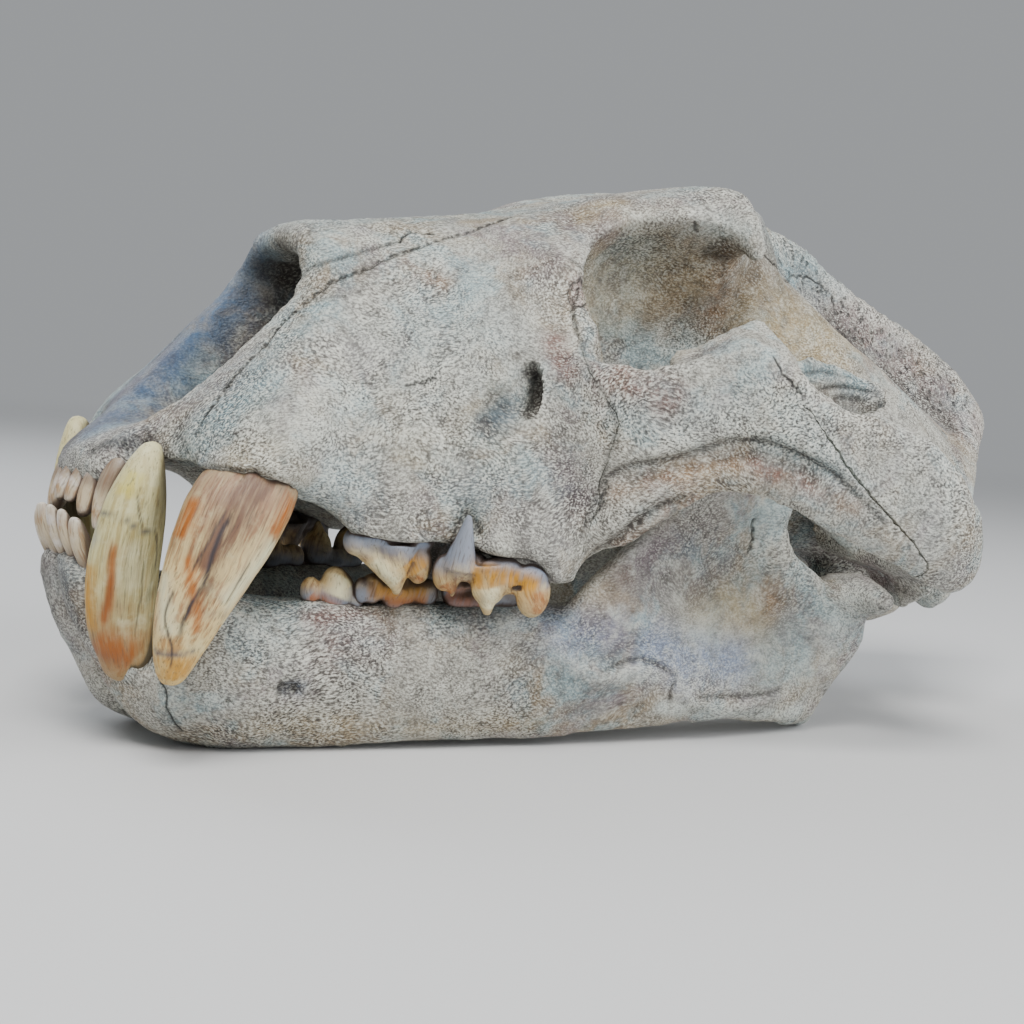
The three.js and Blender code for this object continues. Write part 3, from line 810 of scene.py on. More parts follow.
bones = [cranium.piece]
for side, sign in (("Left", -1), ("Right", 1)):
    bones.append(copyOf(cranium.piece, "jugal" + side))
    cutWith(bones[-1], "INTERSECT", sign, 0)
for sign in (-1, 1):
    cutWith(cranium.piece, "DIFFERENCE", sign, 1)
bones += [jaw.piece for jaw in jaws.values()]
for bone in bones:
    print(bone.name, "triangles", sum(len(p.vertices) - 2 for p in bone.data.polygons))

# Long teeth are drawn out ring by ring, from the root to the tip: x, y, z, length and width of each ring.
canineRings = {
    "upperCanine": [(44, -45, 102, 20, 14), (41, -47, 94, 29, 20), (37.5, -49, 86, 34.5, 24.5),
                    (33.4, -51, 74, 34.4, 23.6), (28.5, -52, 60, 29, 21), (24.6, -51.6, 46, 21.5, 16),
                    (23, -50.8, 36, 15, 11.5), (22.8, -50.2, 30, 10, 8), (22.9, -50, 26.6, 4.5, 4)],
    "lowerCanine": [(25, -16, 21, 12, 8), (21.8, -18.5, 30, 18.5, 12.6), (18.4, -19.8, 38, 21.4, 14.6),
                    (16, -21.5, 47, 22.2, 15), (14, -24.3, 60, 22.8, 15.6), (13, -28, 74, 20.4, 15),
                    (12.9, -30.3, 84, 15, 11.8), (13.4, -31.2, 91, 9.6, 8), (13.9, -31.6, 95.2, 4.6, 4)],
}
incisorRings = {
    "upperIncisor1": [(8, -4, 88, 6, 4.6), (5.2, -4, 81, 7.4, 6.2), (3.8, -4, 76.4, 6.4, 6.6),
                      (2.6, -4, 72.6, 2.8, 5.4)],
    "upperIncisor2": [(9, -10.4, 88, 7, 5), (6.6, -10.6, 80, 8.2, 6.6), (5.4, -10.8, 74, 7.2, 7.2),
                      (4.8, -10.8, 69, 3, 5)],
    "upperIncisor3": [(13, -17.4, 92, 8, 6.4), (9.6, -17.8, 83, 9.4, 8), (8, -18, 75, 8, 7.6),
                      (6.8, -18.2, 69, 4.4, 4.6), (6.4, -18.3, 66.5, 2, 2.4)],
    "lowerIncisor1": [(7.4, -3.3, 53, 3.6, 3.4), (4.2, -3.3, 58, 5.6, 4.8), (1.2, -3.3, 63, 6.6, 6),
                      (-1.6, -3.3, 68.6, 4.4, 6), (-2.9, -3.3, 71.6, 2, 4.6)],
    "lowerIncisor2": [(8, -8.7, 53, 3.8, 3.6), (5.2, -8.7, 58, 5.8, 5), (2.4, -8.8, 63, 6.8, 6.2),
                      (-0.2, -8.8, 68, 4.4, 6), (-1.3, -8.8, 71, 2, 4.8)],
    "lowerIncisor3": [(9.6, -13.4, 52, 4.6, 4.4), (6.8, -13.8, 57, 6.8, 5.8), (4.2, -14, 62, 7.4, 6.8),
                      (2, -14.2, 66.6, 5.4, 6.4), (0.9, -14.2, 69.4, 2.6, 4.8)],
}
toothDrawing = {"canine": {"sides": 24, "levels": 3}, "incisor": {"sides": 12, "levels": 2}}


def drawnOut(name, rings, drawing):
    line = np.array(rings, float)
    line[:, :3] = toRow(line[:, :3])
    line[:, 3:] /= 1000
    tooth = named(added(bpy.ops.mesh.primitive_circle_add, vertices=drawing["sides"], radius=0.5,
                        fill_type="NGON", location=line[0, :3]), name)
    tooth.scale = (line[0, 3], line[0, 4], 1)
    bpy.ops.object.transform_apply(location=True, rotation=True, scale=True)
    bpy.ops.object.mode_set(mode="EDIT")
    bpy.ops.mesh.select_all(action="SELECT")
    for before, ring in zip(line, line[1:]):
        move = ring[:3] - before[:3]
        bpy.ops.mesh.extrude_region_move(TRANSFORM_OT_translate={"value": tuple(move)})
        bpy.ops.transform.resize(value=(ring[3] / before[3], ring[4] / before[4], 1),
                                 center_override=tuple(ring[:3]))
    bpy.ops.mesh.select_all(action="SELECT")
    bpy.ops.mesh.normals_make_consistent(inside=False)
    bpy.ops.object.mode_set(mode="OBJECT")
    modify(tooth, "SUBSURF", levels=drawing["levels"], render_levels=drawing["levels"])
    return tooth


# Cheek teeth are built up from lumps.
cheekTeeth = {
    "upperThirdPremolar": {
        "round": [((78, -48.4, 74.6), (4.6, 4, 4.6)), ((98, -54, 70.5), (4.4, 4, 6.6)),
                  ((86, -51.4, 76.5), (9, 4, 3.4)), ((96, -53.8, 77.5), (6.6, 4.2, 3.8)),
                  ((85.6, -51, 71), (5.6, 3.4, 4.6)), ((89.6, -53.2, 68.6), (6.2, 4, 5.6))],
        "spike": [((79, -48.8, 74.5), (89.6, -53.6, 62), 4), ((90, -52.6, 75), (91.2, -54.6, 60), 7),
                  ((88, -51, 78), (89, -50, 96), 4)]},
    "upperCarnassial": {
        "round": [((104.4, -59.4, 69), (4, 3.8, 6)), ((131, -71, 66.8), (6.4, 3.6, 8.2)),
                  ((111, -62.6, 72), (7.4, 3.8, 5)), ((121, -67, 73), (9.4, 4, 4)),
                  ((130, -70.6, 72), (7, 4, 4)), ((123.6, -68, 69.6), (7, 3, 4.6)),
                  ((117, -66.4, 66.6), (6.2, 3.8, 6))],
        "spike": [((115.6, -64.6, 73), (118, -66.6, 57.6), 7.4),
                  ((106.4, -60.4, 70), (107.6, -61, 61.6), 3.8),
                  ((107, -63, 71), (105.4, -66.6, 88), 5.8), ((130, -69, 74), (132, -66, 92), 4)]},
    "lowerThirdPremolar": {
        "round": [((79.4, -38.4, 57.6), (6.4, 4.4, 7)), ((70.6, -37.8, 57), (3.4, 3.4, 4.4)),
                  ((86, -39, 55.4), (3, 3.2, 3.6)), ((78.4, -38.4, 61), (4.4, 3.6, 4.6))],
        "spike": [((76, -38, 58), (77, -37, 44), 4)]},
    "lowerFourthPremolar": {
        "round": [((90, -42, 60), (4, 3.6, 5)), ((100, -43.5, 60), (8, 4.2, 5)),
                  ((108, -44.5, 60.5), (5, 3.8, 5)), ((86.4, -41.6, 59), (2.6, 2.8, 4.4))],
        "spike": [((98, -43, 60), (98.6, -43, 72.6), 5.4), ((98, -43, 60), (98, -42, 46), 5)]},
    "lowerCarnassial": {
        "round": [((119, -47, 64), (6.4, 3.8, 8)), ((135, -50, 66), (7, 4, 9)),
                  ((127, -48.6, 60.5), (13, 4.4, 5))],
        "spike": [((120, -47.4, 64), (118, -47, 75), 5.4), ((136, -50.4, 66), (138, -50, 78), 5.4),
                  ((126, -48, 60), (126, -47, 46), 5.6)]},
}
cheekToothClay = {"voxel": 0.00055, "rounds": 6}


def lumpy(name, parts):
    tooth = joinAs(name, lumps(parts))
    modify(tooth, "REMESH", mode="VOXEL", voxel_size=cheekToothClay["voxel"], adaptivity=0.0)
    clay = Clay(tooth)
    clay.at = clay.relaxed(clay.at, cheekToothClay["rounds"])
    clay.write()
    return tooth


def otherSide(tooth, name):
    twin = copyOf(tooth, name)
    pick(twin)
    twin.scale = (1, -1, 1)
    bpy.ops.object.transform_apply(location=True, rotation=True, scale=True)
    onWholeMesh(twin, turnOutwards)
    return twin


# The right canines lean a little. At each height: how far back, towards the middle and up a ring goes.
rightLean = {
    "upperCanine": [(34, 6, 9, 0), (90, 0, 0, 0)],
    "lowerCanine": [(21, 4, 2, 0), (30, 4.5, 2, 0), (38, 6.5, 2.5, 0), (47, 7, 3, 0), (60, 7, 3, 0),
                    (74, 6, 2, 0), (84, 4, 1, 1.5), (91, 2.5, 0.5, 3), (95.2, 1.5, 0, 4)]}


def leaned(rings, lean):
    height, back, inward, up = np.array(lean, float).T
    moved = []
    for x, y, z, long, wide in rings:
        shift = [np.interp(z, height, way) for way in (back, inward, up)]
        moved.append((x + shift[0], y + shift[1], z + shift[2], long, wide))
    return moved


teeth = []
for name, rings in canineRings.items():
    teeth.append(drawnOut(name + "Left", rings, toothDrawing["canine"]))
    model = drawnOut("model", leaned(rings, rightLean[name]), toothDrawing["canine"])
    teeth.append(otherSide(model, name + "Right"))
    bpy.data.objects.remove(model)
for name, rings in incisorRings.items():
    tooth = drawnOut(name + "Left", rings, toothDrawing["incisor"])
    teeth += [tooth, otherSide(tooth, name + "Right")]
for name, parts in cheekTeeth.items():
    tooth = lumpy(name + "Left", parts)
    teeth += [tooth, otherSide(tooth, name + "Right")]
print("teeth", len(teeth), "polygons", sum(len(t.data.polygons) for t in teeth))

# Stains by pigment, and among them some marks of painted shade and of painted sheen, noted where they lie.
# Each is a line on the surface: half width, strength, and its places on the left side.
craniumStainsAndShade = {
    "rust": [(7, 1.0, (143, -81, 138), (149, -86, 136), (156, -90, 134)),
        (4.5, 1.0, (129, -64, 145), (131, -71, 138)), (3, 0.9, (186, -104, 118), (192, -107, 116)),
        (3, 0.6, (200, -109, 116), (205, -112, 112))],
    "ochre": [(3.5, 0.9, (93, -43, 160), (96, -45, 158)), (5, 0.6, (188, -104, 117), (200, -110, 116)),
        (4, 0.6, (150, -82, 102), (160, -90, 108), (178, -100, 117), (197, -110, 117), (219, -118, 108)),
        (9, 0.6, (206, -50, 186), (214, -42, 180), (218, -36, 170)),
        (12, 0.3, (196, -45, 188), (200, -36, 172)),
        (3, 0.6, (156, -80, 84), (166, -88, 94), (175, -93, 101))],
    "sand": [(18, 0.8, (165, -40, 165), (185, -40, 178), (200, -42, 180)),
        (4, 0.8, (162, -35, 199), (167, -38, 200)), (7, 0.5, (30, -57, 96), (48, -60, 94)),
        (12, 0.4, (89, -58, 105), (108, -64, 112)), (20, 0.9, (235, -42, 178), (262, -42, 172)),
        (8, 0.4, (145, -62, 130), (152, -76, 126)), (6, 0.6, (150, -40, 195), (160, -44, 194)),
        (16, 0.6, (270, -36, 180), (300, -30, 170))],
    "pale": [(16, 0.3, (166, -40, 166), (190, -42, 180)),
        (9, 0.75, (158, -88, 128), (178, -99, 134), (198, -107, 133)),
        (12, 0.5, (226, -119, 122), (252, -122, 112)), (11, 0.5, (100, -55, 150), (85, -50, 138)),
        (10, 0.9, (166, -86, 140), (186, -98, 140), (196, -104, 134)),
        (4, 0.6, (188, -56, 202), (207, -60, 198)), (22, 0.55, (56, -56, 108), (84, -58, 116)),
        (16, 0.5, (70, -50, 134), (110, -56, 146)), (6, 0.4, (152, -36, 176), (150, -50, 172))],
    "teal": [(12, 0.25, (178, -28, 150), (186, -27, 154)),
        (9, 0.9, (22, -37, 100), (32, -42, 108), (40, -44, 112)),
        (4, 0.6, (36, -36, 114), (48, -38, 130), (62, -37, 146)),
        (8, 0.35, (110, -62, 126), (118, -63, 134)), (10, 0.35, (102, -52, 150), (86, -50, 142)),
        (13, 0.55, (70, -8, 172), (104, -12, 184), (140, -10, 196)),
        (12, 0.6, (240, -30, 200), (268, -14, 206), (300, -5, 200)),
        (9, 0.3, (168, -88, 138), (185, -98, 138)), (6, 0.8, (110, -63, 116), (118, -63, 124))],
    # Painted shadow: the first dark mark lies in the back of the cheek hole.
    "dark": [(1.9, 0.9, (125.5, -60, 124), (126, -60, 134)),
        (3, 0.6, (8, -10, 89), (14, -18, 92), (18, -24, 95)),
        (1.1, 0.55, (145.3, -79, 104), (144.8, -80, 112), (144.8, -82, 118), (145, -82, 123),
         (142.6, -81, 128), (139, -79, 133), (136.4, -75, 138), (136.4, -72, 143), (138, -66, 148)),
        # Painted shade: the mark below runs along the braincase's front edge; on the next line, the first
        # mark lies under the brow's hook and the second in the notch between the nose bones.
        (1.8, 0.45, (205, -53, 190), (209, -49, 184), (219, -39, 178)),
        (3.5, 0.7, (198, -52, 187), (204, -55, 185)), (6, 0.5, (58, 2, 160), (66, -4, 164))],
    "umber": [(4, 0.7, (117, -62, 139), (123, -61, 138)), (18, 0.55, (228, -40, 188), (262, -34, 186)),
        # Painted shade: this umber mark lies under the brow's hook.
        (5, 0.9, (200, -58, 188), (208, -60, 186)),
        (3.5, 0.6, (150, -76, 84), (158, -84, 94), (166, -90, 102))],
    "blue": [(4.5, 0.4, (110, -63, 117), (117, -64, 123))],
    "porous": [(26, 1.0, (285, -6, 200), (330, -10, 185), (375, -12, 166), (398, -12, 152)),
        (7, 0.8, (8, -12, 90), (16, -22, 94))],
    "smooth": [(22, 0.7, (152, -40, 160), (170, -40, 166), (190, -40, 170), (204, -40, 172)),
        (24, 0.6, (230, -40, 180), (285, -30, 178)),
        (6, 0.6, (150, -80, 104), (178, -100, 117), (219, -118, 108)),
        (14, 0.45, (80, -38, 168), (130, -20, 190))],
    "plum": [(8, 0.5, (14, -14, 97), (24, -26, 104), (34, -30, 112)),
        (5, 0.8, (148, -29, 192), (144, -44, 185), (145, -51, 181)),
        (12, 0.3, (170, -36, 201), (186, -48, 203)),
        (7, 0.6, (10, -20, 97), (24, -25, 107), (38, -27, 124)), (6, 0.7, (8, -12, 90), (16, -22, 94)),
        (6, 0.8, (126, -54, 168), (144, -49, 182), (158, -44, 191)),
        (6.5, 0.9, (133, -73, 107), (140, -75, 99)), (9, 0.4, (104, -64, 100), (112, -66, 96)),
        (7, 0.4, (72, -54, 136), (64, -46, 130)), (5, 0.5, (160, -84, 141), (176, -92, 148)),
        (6, 0.3, (60, -55, 84), (74, -54, 82)), (5, 0.35, (205, -113, 133), (214, -116, 124))],
    "rose": [(20, 0.6, (320, -8, 186), (350, -14, 172), (390, -16, 155), (416, -4, 150)),
        (10, 1.0, (290, -50, 98), (296, -66, 92)), (3, 0.8, (138, -60, 160), (139, -58, 166))],
}
# These lie on the far wall of the nose only.
farNoseStainsAndShade = {
    "blue": [
        (13, 1.0, (12, 10, 97), (18, 12, 101), (31, 16, 112), (42, 19, 127), (51, 20, 140), (58, 20, 148)),
        (9, 0.8, (10, 20, 96), (22, 24, 108), (36, 27, 122), (48, 27, 138)),
        (11, 0.9, (14, 22, 99), (27, 27, 112), (38, 29, 124), (48, 29, 137), (58, 26, 150), (63, 18, 160))],
    # Painted shade under the far rim of the nose.
    "dark": [(5, 0.5, (60, 15, 152), (62, 8, 160))],
    "smooth": [(20, 1.0, (18, 12, 101), (31, 16, 112), (42, 19, 127), (56, 20, 146))],
}
jawStainsAndSheen = {
    "plum": [(11, 0.65, (185, -67, 86), (201, -67, 95), (170, -66, 78)),
        (7, 0.6, (160, -67, 58), (172, -68, 54)), (8, 0.5, (205, -67, 76), (215, -67, 84)),
        (9, 0.5, (76, -43, 40), (92, -46, 44)), (8, 0.8, (3, -5, 51), (5, -6, 42), (12, -8, 30))],
    # Painted sheen: a whitish-blue sheen along the jaw.
    "sky": [(9, 0.9, (186, -69, 53), (205, -69, 50), (226, -68, 50)),
        (8, 0.8, (148, -63, 57), (156, -65, 55), (168, -67, 56)),
        (5, 0.5, (198, -68, 43), (206, -67, 40))],
    "sand": [(11, 0.8, (218, -68, 72), (232, -68, 64), (208, -68, 66)),
        (6, 0.4, (60, -42, 12), (110, -50, 16), (150, -58, 22))],
    "ochre": [(5, 0.5, (236, -68, 78), (240, -68, 72))],
    "rust": [(4, 0.8, (70, -41, 48), (84, -43, 51)), (6, 0.45, (90, -46, 51), (76, -43, 40)),
        (5, 0.35, (120, -56, 56), (135, -60, 58))],
    "pale": [(4, 0.9, (198, -65, 32), (229, -65, 32), (264, -65, 34)),
        (3, 0.8, (176, -67, 42), (190, -68, 43)), (8, 0.6, (45, -41, 44), (60, -43, 40)),
        (2.4, 0.8, (42, -39, 20.5), (48, -40, 21.5)), (9, 0.7, (270, -66, 64), (276, -70, 76)),
        (2.5, 0.8, (4, -6, 47), (9, -9, 38), (14, -12, 31), (22, -22, 26)),
        (14, 0.55, (205, -67, 56), (240, -67, 50), (262, -67, 52)),
        (14, 0.3, (230, -68, 92), (236, -68, 118))],
    "blue": [(2.6, 1.0, (65, -44, 27), (68, -44, 27))],
    "dark": [(1.0, 0.8, (62.4, -43, 25.4), (62.4, -43, 28)),
        (3, 0.4, (5, -8, 52), (6, -8, 44), (10, -10, 36)), (3, 0.5, (112, -52, 62), (128, -56, 62)),
        (2.5, 0.8, (276, -69, 148), (280, -69, 146))],
    "teal": [(9, 0.4, (240, -68, 50), (250, -68, 60)), (7, 0.7, (258, -66, 150), (264, -68, 154)),
        (6, 0.9, (234, -68, 155), (250, -69, 158), (266, -69, 154))],
    "umber": [(4, 0.8, (244, -69, 147), (272, -69, 147))],
    "smooth": [(26, 1.0, (175, -67, 68), (215, -67, 62), (258, -67, 60)),
        (22, 0.8, (222, -68, 98), (235, -68, 135))],
}
# Cracks and fine strokes are darker inside: half width and strength.
darkLines = {"cracks": (0.5, 0.9), "craniumFine": (1.0, 0.5), "jawFine": (1.0, 0.45)}


def onlyHere(line):
    return [line]


def stain(clay, guide, stains, sides=bothSides):
    for name, lines in stains.items():
        for width, share, *line in lines:
            for side in sides(line):
                clay.stain(guide, name, smoothLine(side, lineSteps["stain"]), width, share)


def darken(clay, guide, strokes, width, share):
    for line, *rest in strokes:
        wander = rest[2] if len(rest) == 3 else 0
        for side in bothSides(line):
            places = smoothLine(side, lineSteps["crack"])
            clay.stain(guide, "dark", jagged(places, wander) if wander else places, width, share)


# How far each point stands out from or lies in below its surroundings: rounds of smoothing, and the height
# in mm that counts in full. The finishes lighten raised edges with it and darken hollows as painted shade.
shapeScales = {"fine": (4, 0.16), "broad": (40, 1.4)}


def shadeAndEdgesByShape(clay):
    for name, (rounds, size) in shapeScales.items():
        out = ((clay.at - clay.relaxed(clay.at, rounds)) * clay.normal).sum(1) / size
        clay.paints[name + "Edge"] = np.clip(out, 0, 1)
        clay.paints[name + "Hollow"] = np.clip(-out, 0, 1)


# How sheltered each point is, kept for painted shade in the finishes: rays go out all round, and near walls
# count most.
shelter = {"rays": 30, "reach": 0.055, "lift": 0.0006, "flattest": 0.1, "rounds": 3}


def wallsOf(pieces):
    corners, faces = [], []
    for piece in pieces:
        start = len(corners)
        corners += [v.co.copy() for v in piece.data.vertices]
        faces += [[start + v for v in p.vertices] for p in piece.data.polygons]
    return BVHTree.FromPolygons(corners, faces)


def sheltered(clay, walls):
    k = np.arange(shelter["rays"]) + 0.5
    tall, turn = 1 - 2 * k / shelter["rays"], k * math.pi * (1 + 5 ** 0.5)
    flat = np.sqrt(1 - tall * tall)
    rays = np.stack([flat * np.cos(turn), flat * np.sin(turn), tall], -1)
    rayVectors = [Vector(ray) for ray in rays]
    facing = numbersOf(clay.piece.data.vertex_normals, "vector")
    starts = toRow(clay.at) + facing * shelter["lift"]
    slope = facing @ rays.T
    outwards = slope > shelter["flattest"]
    share, reach = np.zeros(len(starts)), shelter["reach"]
    for index, start in enumerate(starts):
        start = Vector(start)
        for k in np.nonzero(outwards[index])[0]:
            away = walls.ray_cast(start, rayVectors[k], reach)[3]
            if away is not None:
                share[index] += slope[index, k] * (1 - away / reach)
    share /= np.maximum(np.where(outwards, slope, 0).sum(1), 1e-6)
    clay.paints["sheltered"] = clay.relaxed(share[:, None], shelter["rounds"])[:, 0]


walls = wallsOf(bones + teeth)
for jaw in jaws.values():
    jaw.surface()
for bone in bones:
    clay = Clay(bone)
    if bone.name.startswith("mandible"):
        guide = jaws[bone.name[8:].lower()]
        stain(clay, guide, jawStainsAndSheen)
        darken(clay, guide, jawCracks, *darkLines["cracks"])
        darken(clay, guide, jawFine, *darkLines["jawFine"])
    else:
        stain(clay, cranium, craniumStainsAndShade)
        stain(clay, cranium, farNoseStainsAndShade, onlyHere)
        darken(clay, cranium, craniumCracks, *darkLines["cracks"])
        darken(clay, cranium, craniumFine, *darkLines["craniumFine"])
    # Layers for lighter raised edges, and for painted shade in hollows and sheltered places.
    shadeAndEdgesByShape(clay)
    sheltered(clay, walls)
    clay.store()
print("bones stained")

# Marks on the teeth: pigment, line, half width, strength, and how deep the mark is cut.
toothMarks = {
    "upperCanine": [
        ("crack", [(29, -61, 80), (25, -61, 71), (23, -61, 59), (21, -59, 52), (20, -58, 47), (20, -56, 40)],
         0.7, 1.0, -0.4),
        ("crack", [(36, -61, 66), (33, -61, 58), (31, -60, 52)], 0.4, 0.8, -0.25),
        ("crack", [(18, -56, 56), (17, -54, 48), (19, -55, 38), (20, -54, 31)], 0.4, 0.8, -0.25),
        ("crack", [(27, -60, 80), (21, -60, 66), (19, -59, 60)], 0.4, 0.7, -0.2),
        ("ring", [(24, -60, 49), (28, -61, 49), (34, -58, 49.5)], 0.7, 0.8, -0.1),
        ("ring", [(16, -50, 37), (21, -55, 37), (26, -57, 38.5)], 0.9, 0.8, -0.1),
        ("umber", [(30, -60, 92), (38, -61, 84)], 11, 0.9, 0),
        ("umber", [(32, -61, 84), (26, -61, 70), (22, -60, 60)], 6, 0.9, 0),
        ("umber", [(27, -61, 66), (23, -61, 54), (21, -60, 48)], 2.6, 0.8, 0),
        ("orange", [(20, -52, 82), (18, -53, 76), (17, -53, 69)], 3.4, 1.0, 0),
        ("orange", [(50, -59, 86), (47, -60, 80), (43, -61, 73)], 3.6, 1.0, 0),
        ("orange", [(18, -57, 66), (20, -59, 58), (23, -60, 48), (24, -60, 42)], 1.8, 0.8, 0),
        ("cream", [(46, -60, 72), (37, -61, 60), (30, -61, 51)], 4.2, 1.0, 0),
        ("cream", [(15, -52, 60), (16, -54, 50), (18, -55, 41)], 2.8, 0.9, 0),
        ("amber", [(20, -55, 36), (23, -54, 28)], 5, 0.8, 0),
        ("amber", [(44, -60, 66), (36, -60, 54)], 1.4, 0.6, 0)],
    "lowerCanine": [
        ("ring", [(5, -22, 72), (8, -32, 72), (11, -34, 70), (19, -33, 68)], 0.6, 0.8, -0.1),
        ("orange", [(8, -29, 66), (9, -29, 54), (10, -27, 46), (11, -23, 39)], 1.7, 0.9, -0.2),
        ("umber", [(9, -28, 56), (10, -27, 48), (11, -24, 40)], 0.9, 1.0, 0),
        ("crack", [(9, -26, 88), (6, -24, 79), (6, -23, 70)], 0.4, 0.7, -0.25),
        ("crack", [(18, -33, 70), (21, -31, 64), (23, -30, 57)], 0.4, 0.8, -0.25),
        ("crack", [(10, -34, 80), (12, -35, 74), (14, -34, 69)], 0.35, 0.6, -0.2),
        ("crack", [(17, -31, 60), (19, -29, 50), (20, -27, 38)], 0.35, 0.5, -0.15),
        ("orange", [(12, -20, 36), (17, -26, 31), (24, -28, 29)], 5.5, 0.9, 0),
        ("umber", [(12, -17, 33), (22, -28, 28)], 3, 0.7, 0),
        ("amber", [(3, -24, 58), (5, -22, 44), (9, -20, 36)], 3.4, 0.9, 0),
        ("cream", [(12, -33, 66), (16, -30, 50)], 4, 0.6, 0),
        ("yellow", [(10, -33, 86), (8, -32, 78)], 3, 0.6, 0),
        ("steel", [(3, -24, 70), (4, -26, 62)], 2.6, 0.5, 0)],
    "upperThirdPremolar": [
        ("steel", [(75, -51, 77), (86, -55, 78), (99, -58, 78)], 3.4, 0.95, 0),
        ("amber", [(92, -57, 72), (97, -58, 68)], 4.4, 0.9, 0),
        ("cream", [(82, -53, 70), (90, -57, 63)], 2.6, 0.9, 0),
        ("umber", [(94.5, -57, 71), (93.5, -57, 66)], 1.0, 0.8, -0.3),
        ("orange", [(96, -57, 66), (99, -57, 65)], 2, 0.6, 0)],
    "upperCarnassial": [
        ("steel", [(103, -62, 74), (112, -66, 76.5), (122, -70, 77), (132, -74, 75), (137, -74, 69)],
         2.6, 1.0, 0),
        ("steel", [(107, -63, 76), (107.6, -63, 88)], 4.2, 0.9, 0),
        ("amber", [(111, -65, 70.5), (121, -70, 71), (131, -74, 68)], 3.4, 1.0, 0),
        ("orange", [(131, -74, 68), (133, -74, 59)], 3.6, 0.55, 0),
        ("cream", [(116, -69, 67), (118, -69, 59)], 3.4, 0.9, 0),
        ("crack", [(124.2, -71, 68.4), (124.8, -71, 67)], 1.7, 1.0, -1.0),
        ("umber", [(107, -63, 66), (108, -63, 61)], 2.2, 0.6, 0),
        ("orange", [(103, -62, 66), (106, -62, 62)], 2.2, 0.6, 0)],
    "lowerThirdPremolar": [
        ("cream", [(80, -42, 63), (78, -42, 56)], 4.4, 0.9, 0),
        ("steel", [(84, -42, 61), (86, -42, 57)], 2.6, 0.8, 0),
        ("orange", [(68, -41, 55), (80, -42, 51)], 2.4, 0.8, 0)],
    "lowerFourthPremolar": [
        ("amber", [(86, -45, 60), (96, -47, 60), (108, -48, 61)], 4, 0.9, 0),
        ("orange", [(92, -45, 57), (108, -48, 58)], 2, 0.7, 0),
        ("umber", [(88, -45, 63), (89, -45, 57)], 1.0, 0.8, -0.3)],
    "lowerCarnassial": [
        ("orange", [(112, -50, 62), (126, -53, 60)], 5, 0.7, 0)],
}
toothGrain = {"height": 0.22, "stretch": (0.9, 0.9, 0.12), "size": 3.2, "octaves": 3, "seed": 2.0,
              "lengthShare": 0.08, "levels": 14, "band": 4}
markLine = {"step": 0.6, "wander": 0.3, "every": 3.0, "fade": 0.1}


def markTooth(tooth, marks):
    clay = Clay(tooth)
    if "Canine" in tooth.name:
        uneven = noiseAt(clay.at * toothGrain["stretch"], toothGrain["size"], toothGrain["octaves"],
                         toothGrain["seed"])
        clay.at = clay.at + clay.normal * (toothGrain["height"] * uneven)[:, None]
    clay.write()
    for name, places, width, share, depth in marks:
        places = mirrored(places) if tooth.name.endswith("Right") else places
        places = jagged(smoothLine(places, markLine["step"]), markLine["wander"], markLine["every"])
        index, part = clay.press(places, width, depth, fade=markLine["fade"])
        clay.paint(name, index, share * part)
    clay.write()
    # Sheltered places between the teeth and inside the mouth, for painted shade.
    sheltered(clay, walls)
    clay.store()


def ringsAlong(clay, axis):
    z = clay.at[:, 2]
    levels = np.linspace(z.min(), z.max(), toothGrain["levels"])
    middles = [clay.at[np.abs(z - level) < toothGrain["band"], axis].mean() for level in levels]
    return levels, np.array(middles)


# Grain of a tooth: where a point lies across the tooth, with the length drawn together, in metres.
def grainOf(tooth, gum, tip):
    clay = Clay(tooth)
    z = clay.at[:, 2]
    clay.paints = {"crown": np.clip((z - gum) / (tip - gum), 0, 1)}
    shadeAndEdgesByShape(clay)
    clay.store()
    middle = np.stack([np.interp(z, *ringsAlong(clay, axis)) for axis in (0, 1)], -1)
    grain = np.concatenate([clay.at[:, :2] - middle, toothGrain["lengthShare"] * z[:, None]], 1) / 1000
    kept = tooth.data.attributes.new("grain", "FLOAT_VECTOR", "POINT")
    kept.data.foreach_set("vector", grain.astype(np.float32).ravel())


# Height of the gum at each kind of tooth.
gumLevels = {"upperCanine": 88, "lowerCanine": 28, "upperIncisor1": 82, "upperIncisor2": 81,
             "upperIncisor3": 80, "lowerIncisor1": 56, "lowerIncisor2": 56, "lowerIncisor3": 55,
             "upperThirdPremolar": 78, "upperCarnassial": 77, "lowerThirdPremolar": 52,
             "lowerFourthPremolar": 56, "lowerCarnassial": 58}
for tooth in teeth:
    kind = tooth.name.replace("Left", "").replace("Right", "")
    markTooth(tooth, toothMarks.get(kind, []))
    height = Clay(tooth).at[:, 2]
    grainOf(tooth, gumLevels[kind], height.min() if kind.startswith("upper") else height.max())
print("teeth marked")

# Tones of the bone, and the pigments of its stains and of its painted sheen in the order in which they lie
# over each other. The shadow and crack tones also serve for painted shade.
boneTones = {"base": (170, 167, 156), "grey": (106, 103, 107), "cyan": (146, 174, 180),
             "warm": (148, 124, 86), "violet": (118, 98, 108), "shadow": (62, 55, 50),
             "grain": (52, 47, 44), "light": (222, 222, 210), "crack": (14, 12, 11)}
bonePigments = {"sand": (176, 152, 98), "pale": (206, 214, 208), "teal": (104, 142, 152),
                "blue": (56, 92, 128), "sky": (136, 152, 182), "plum": (88, 68, 80),
                "rose": (152, 122, 122), "umber": (86, 70, 52), "ochre": (142, 92, 34),
                "rust": (112, 44, 22)}
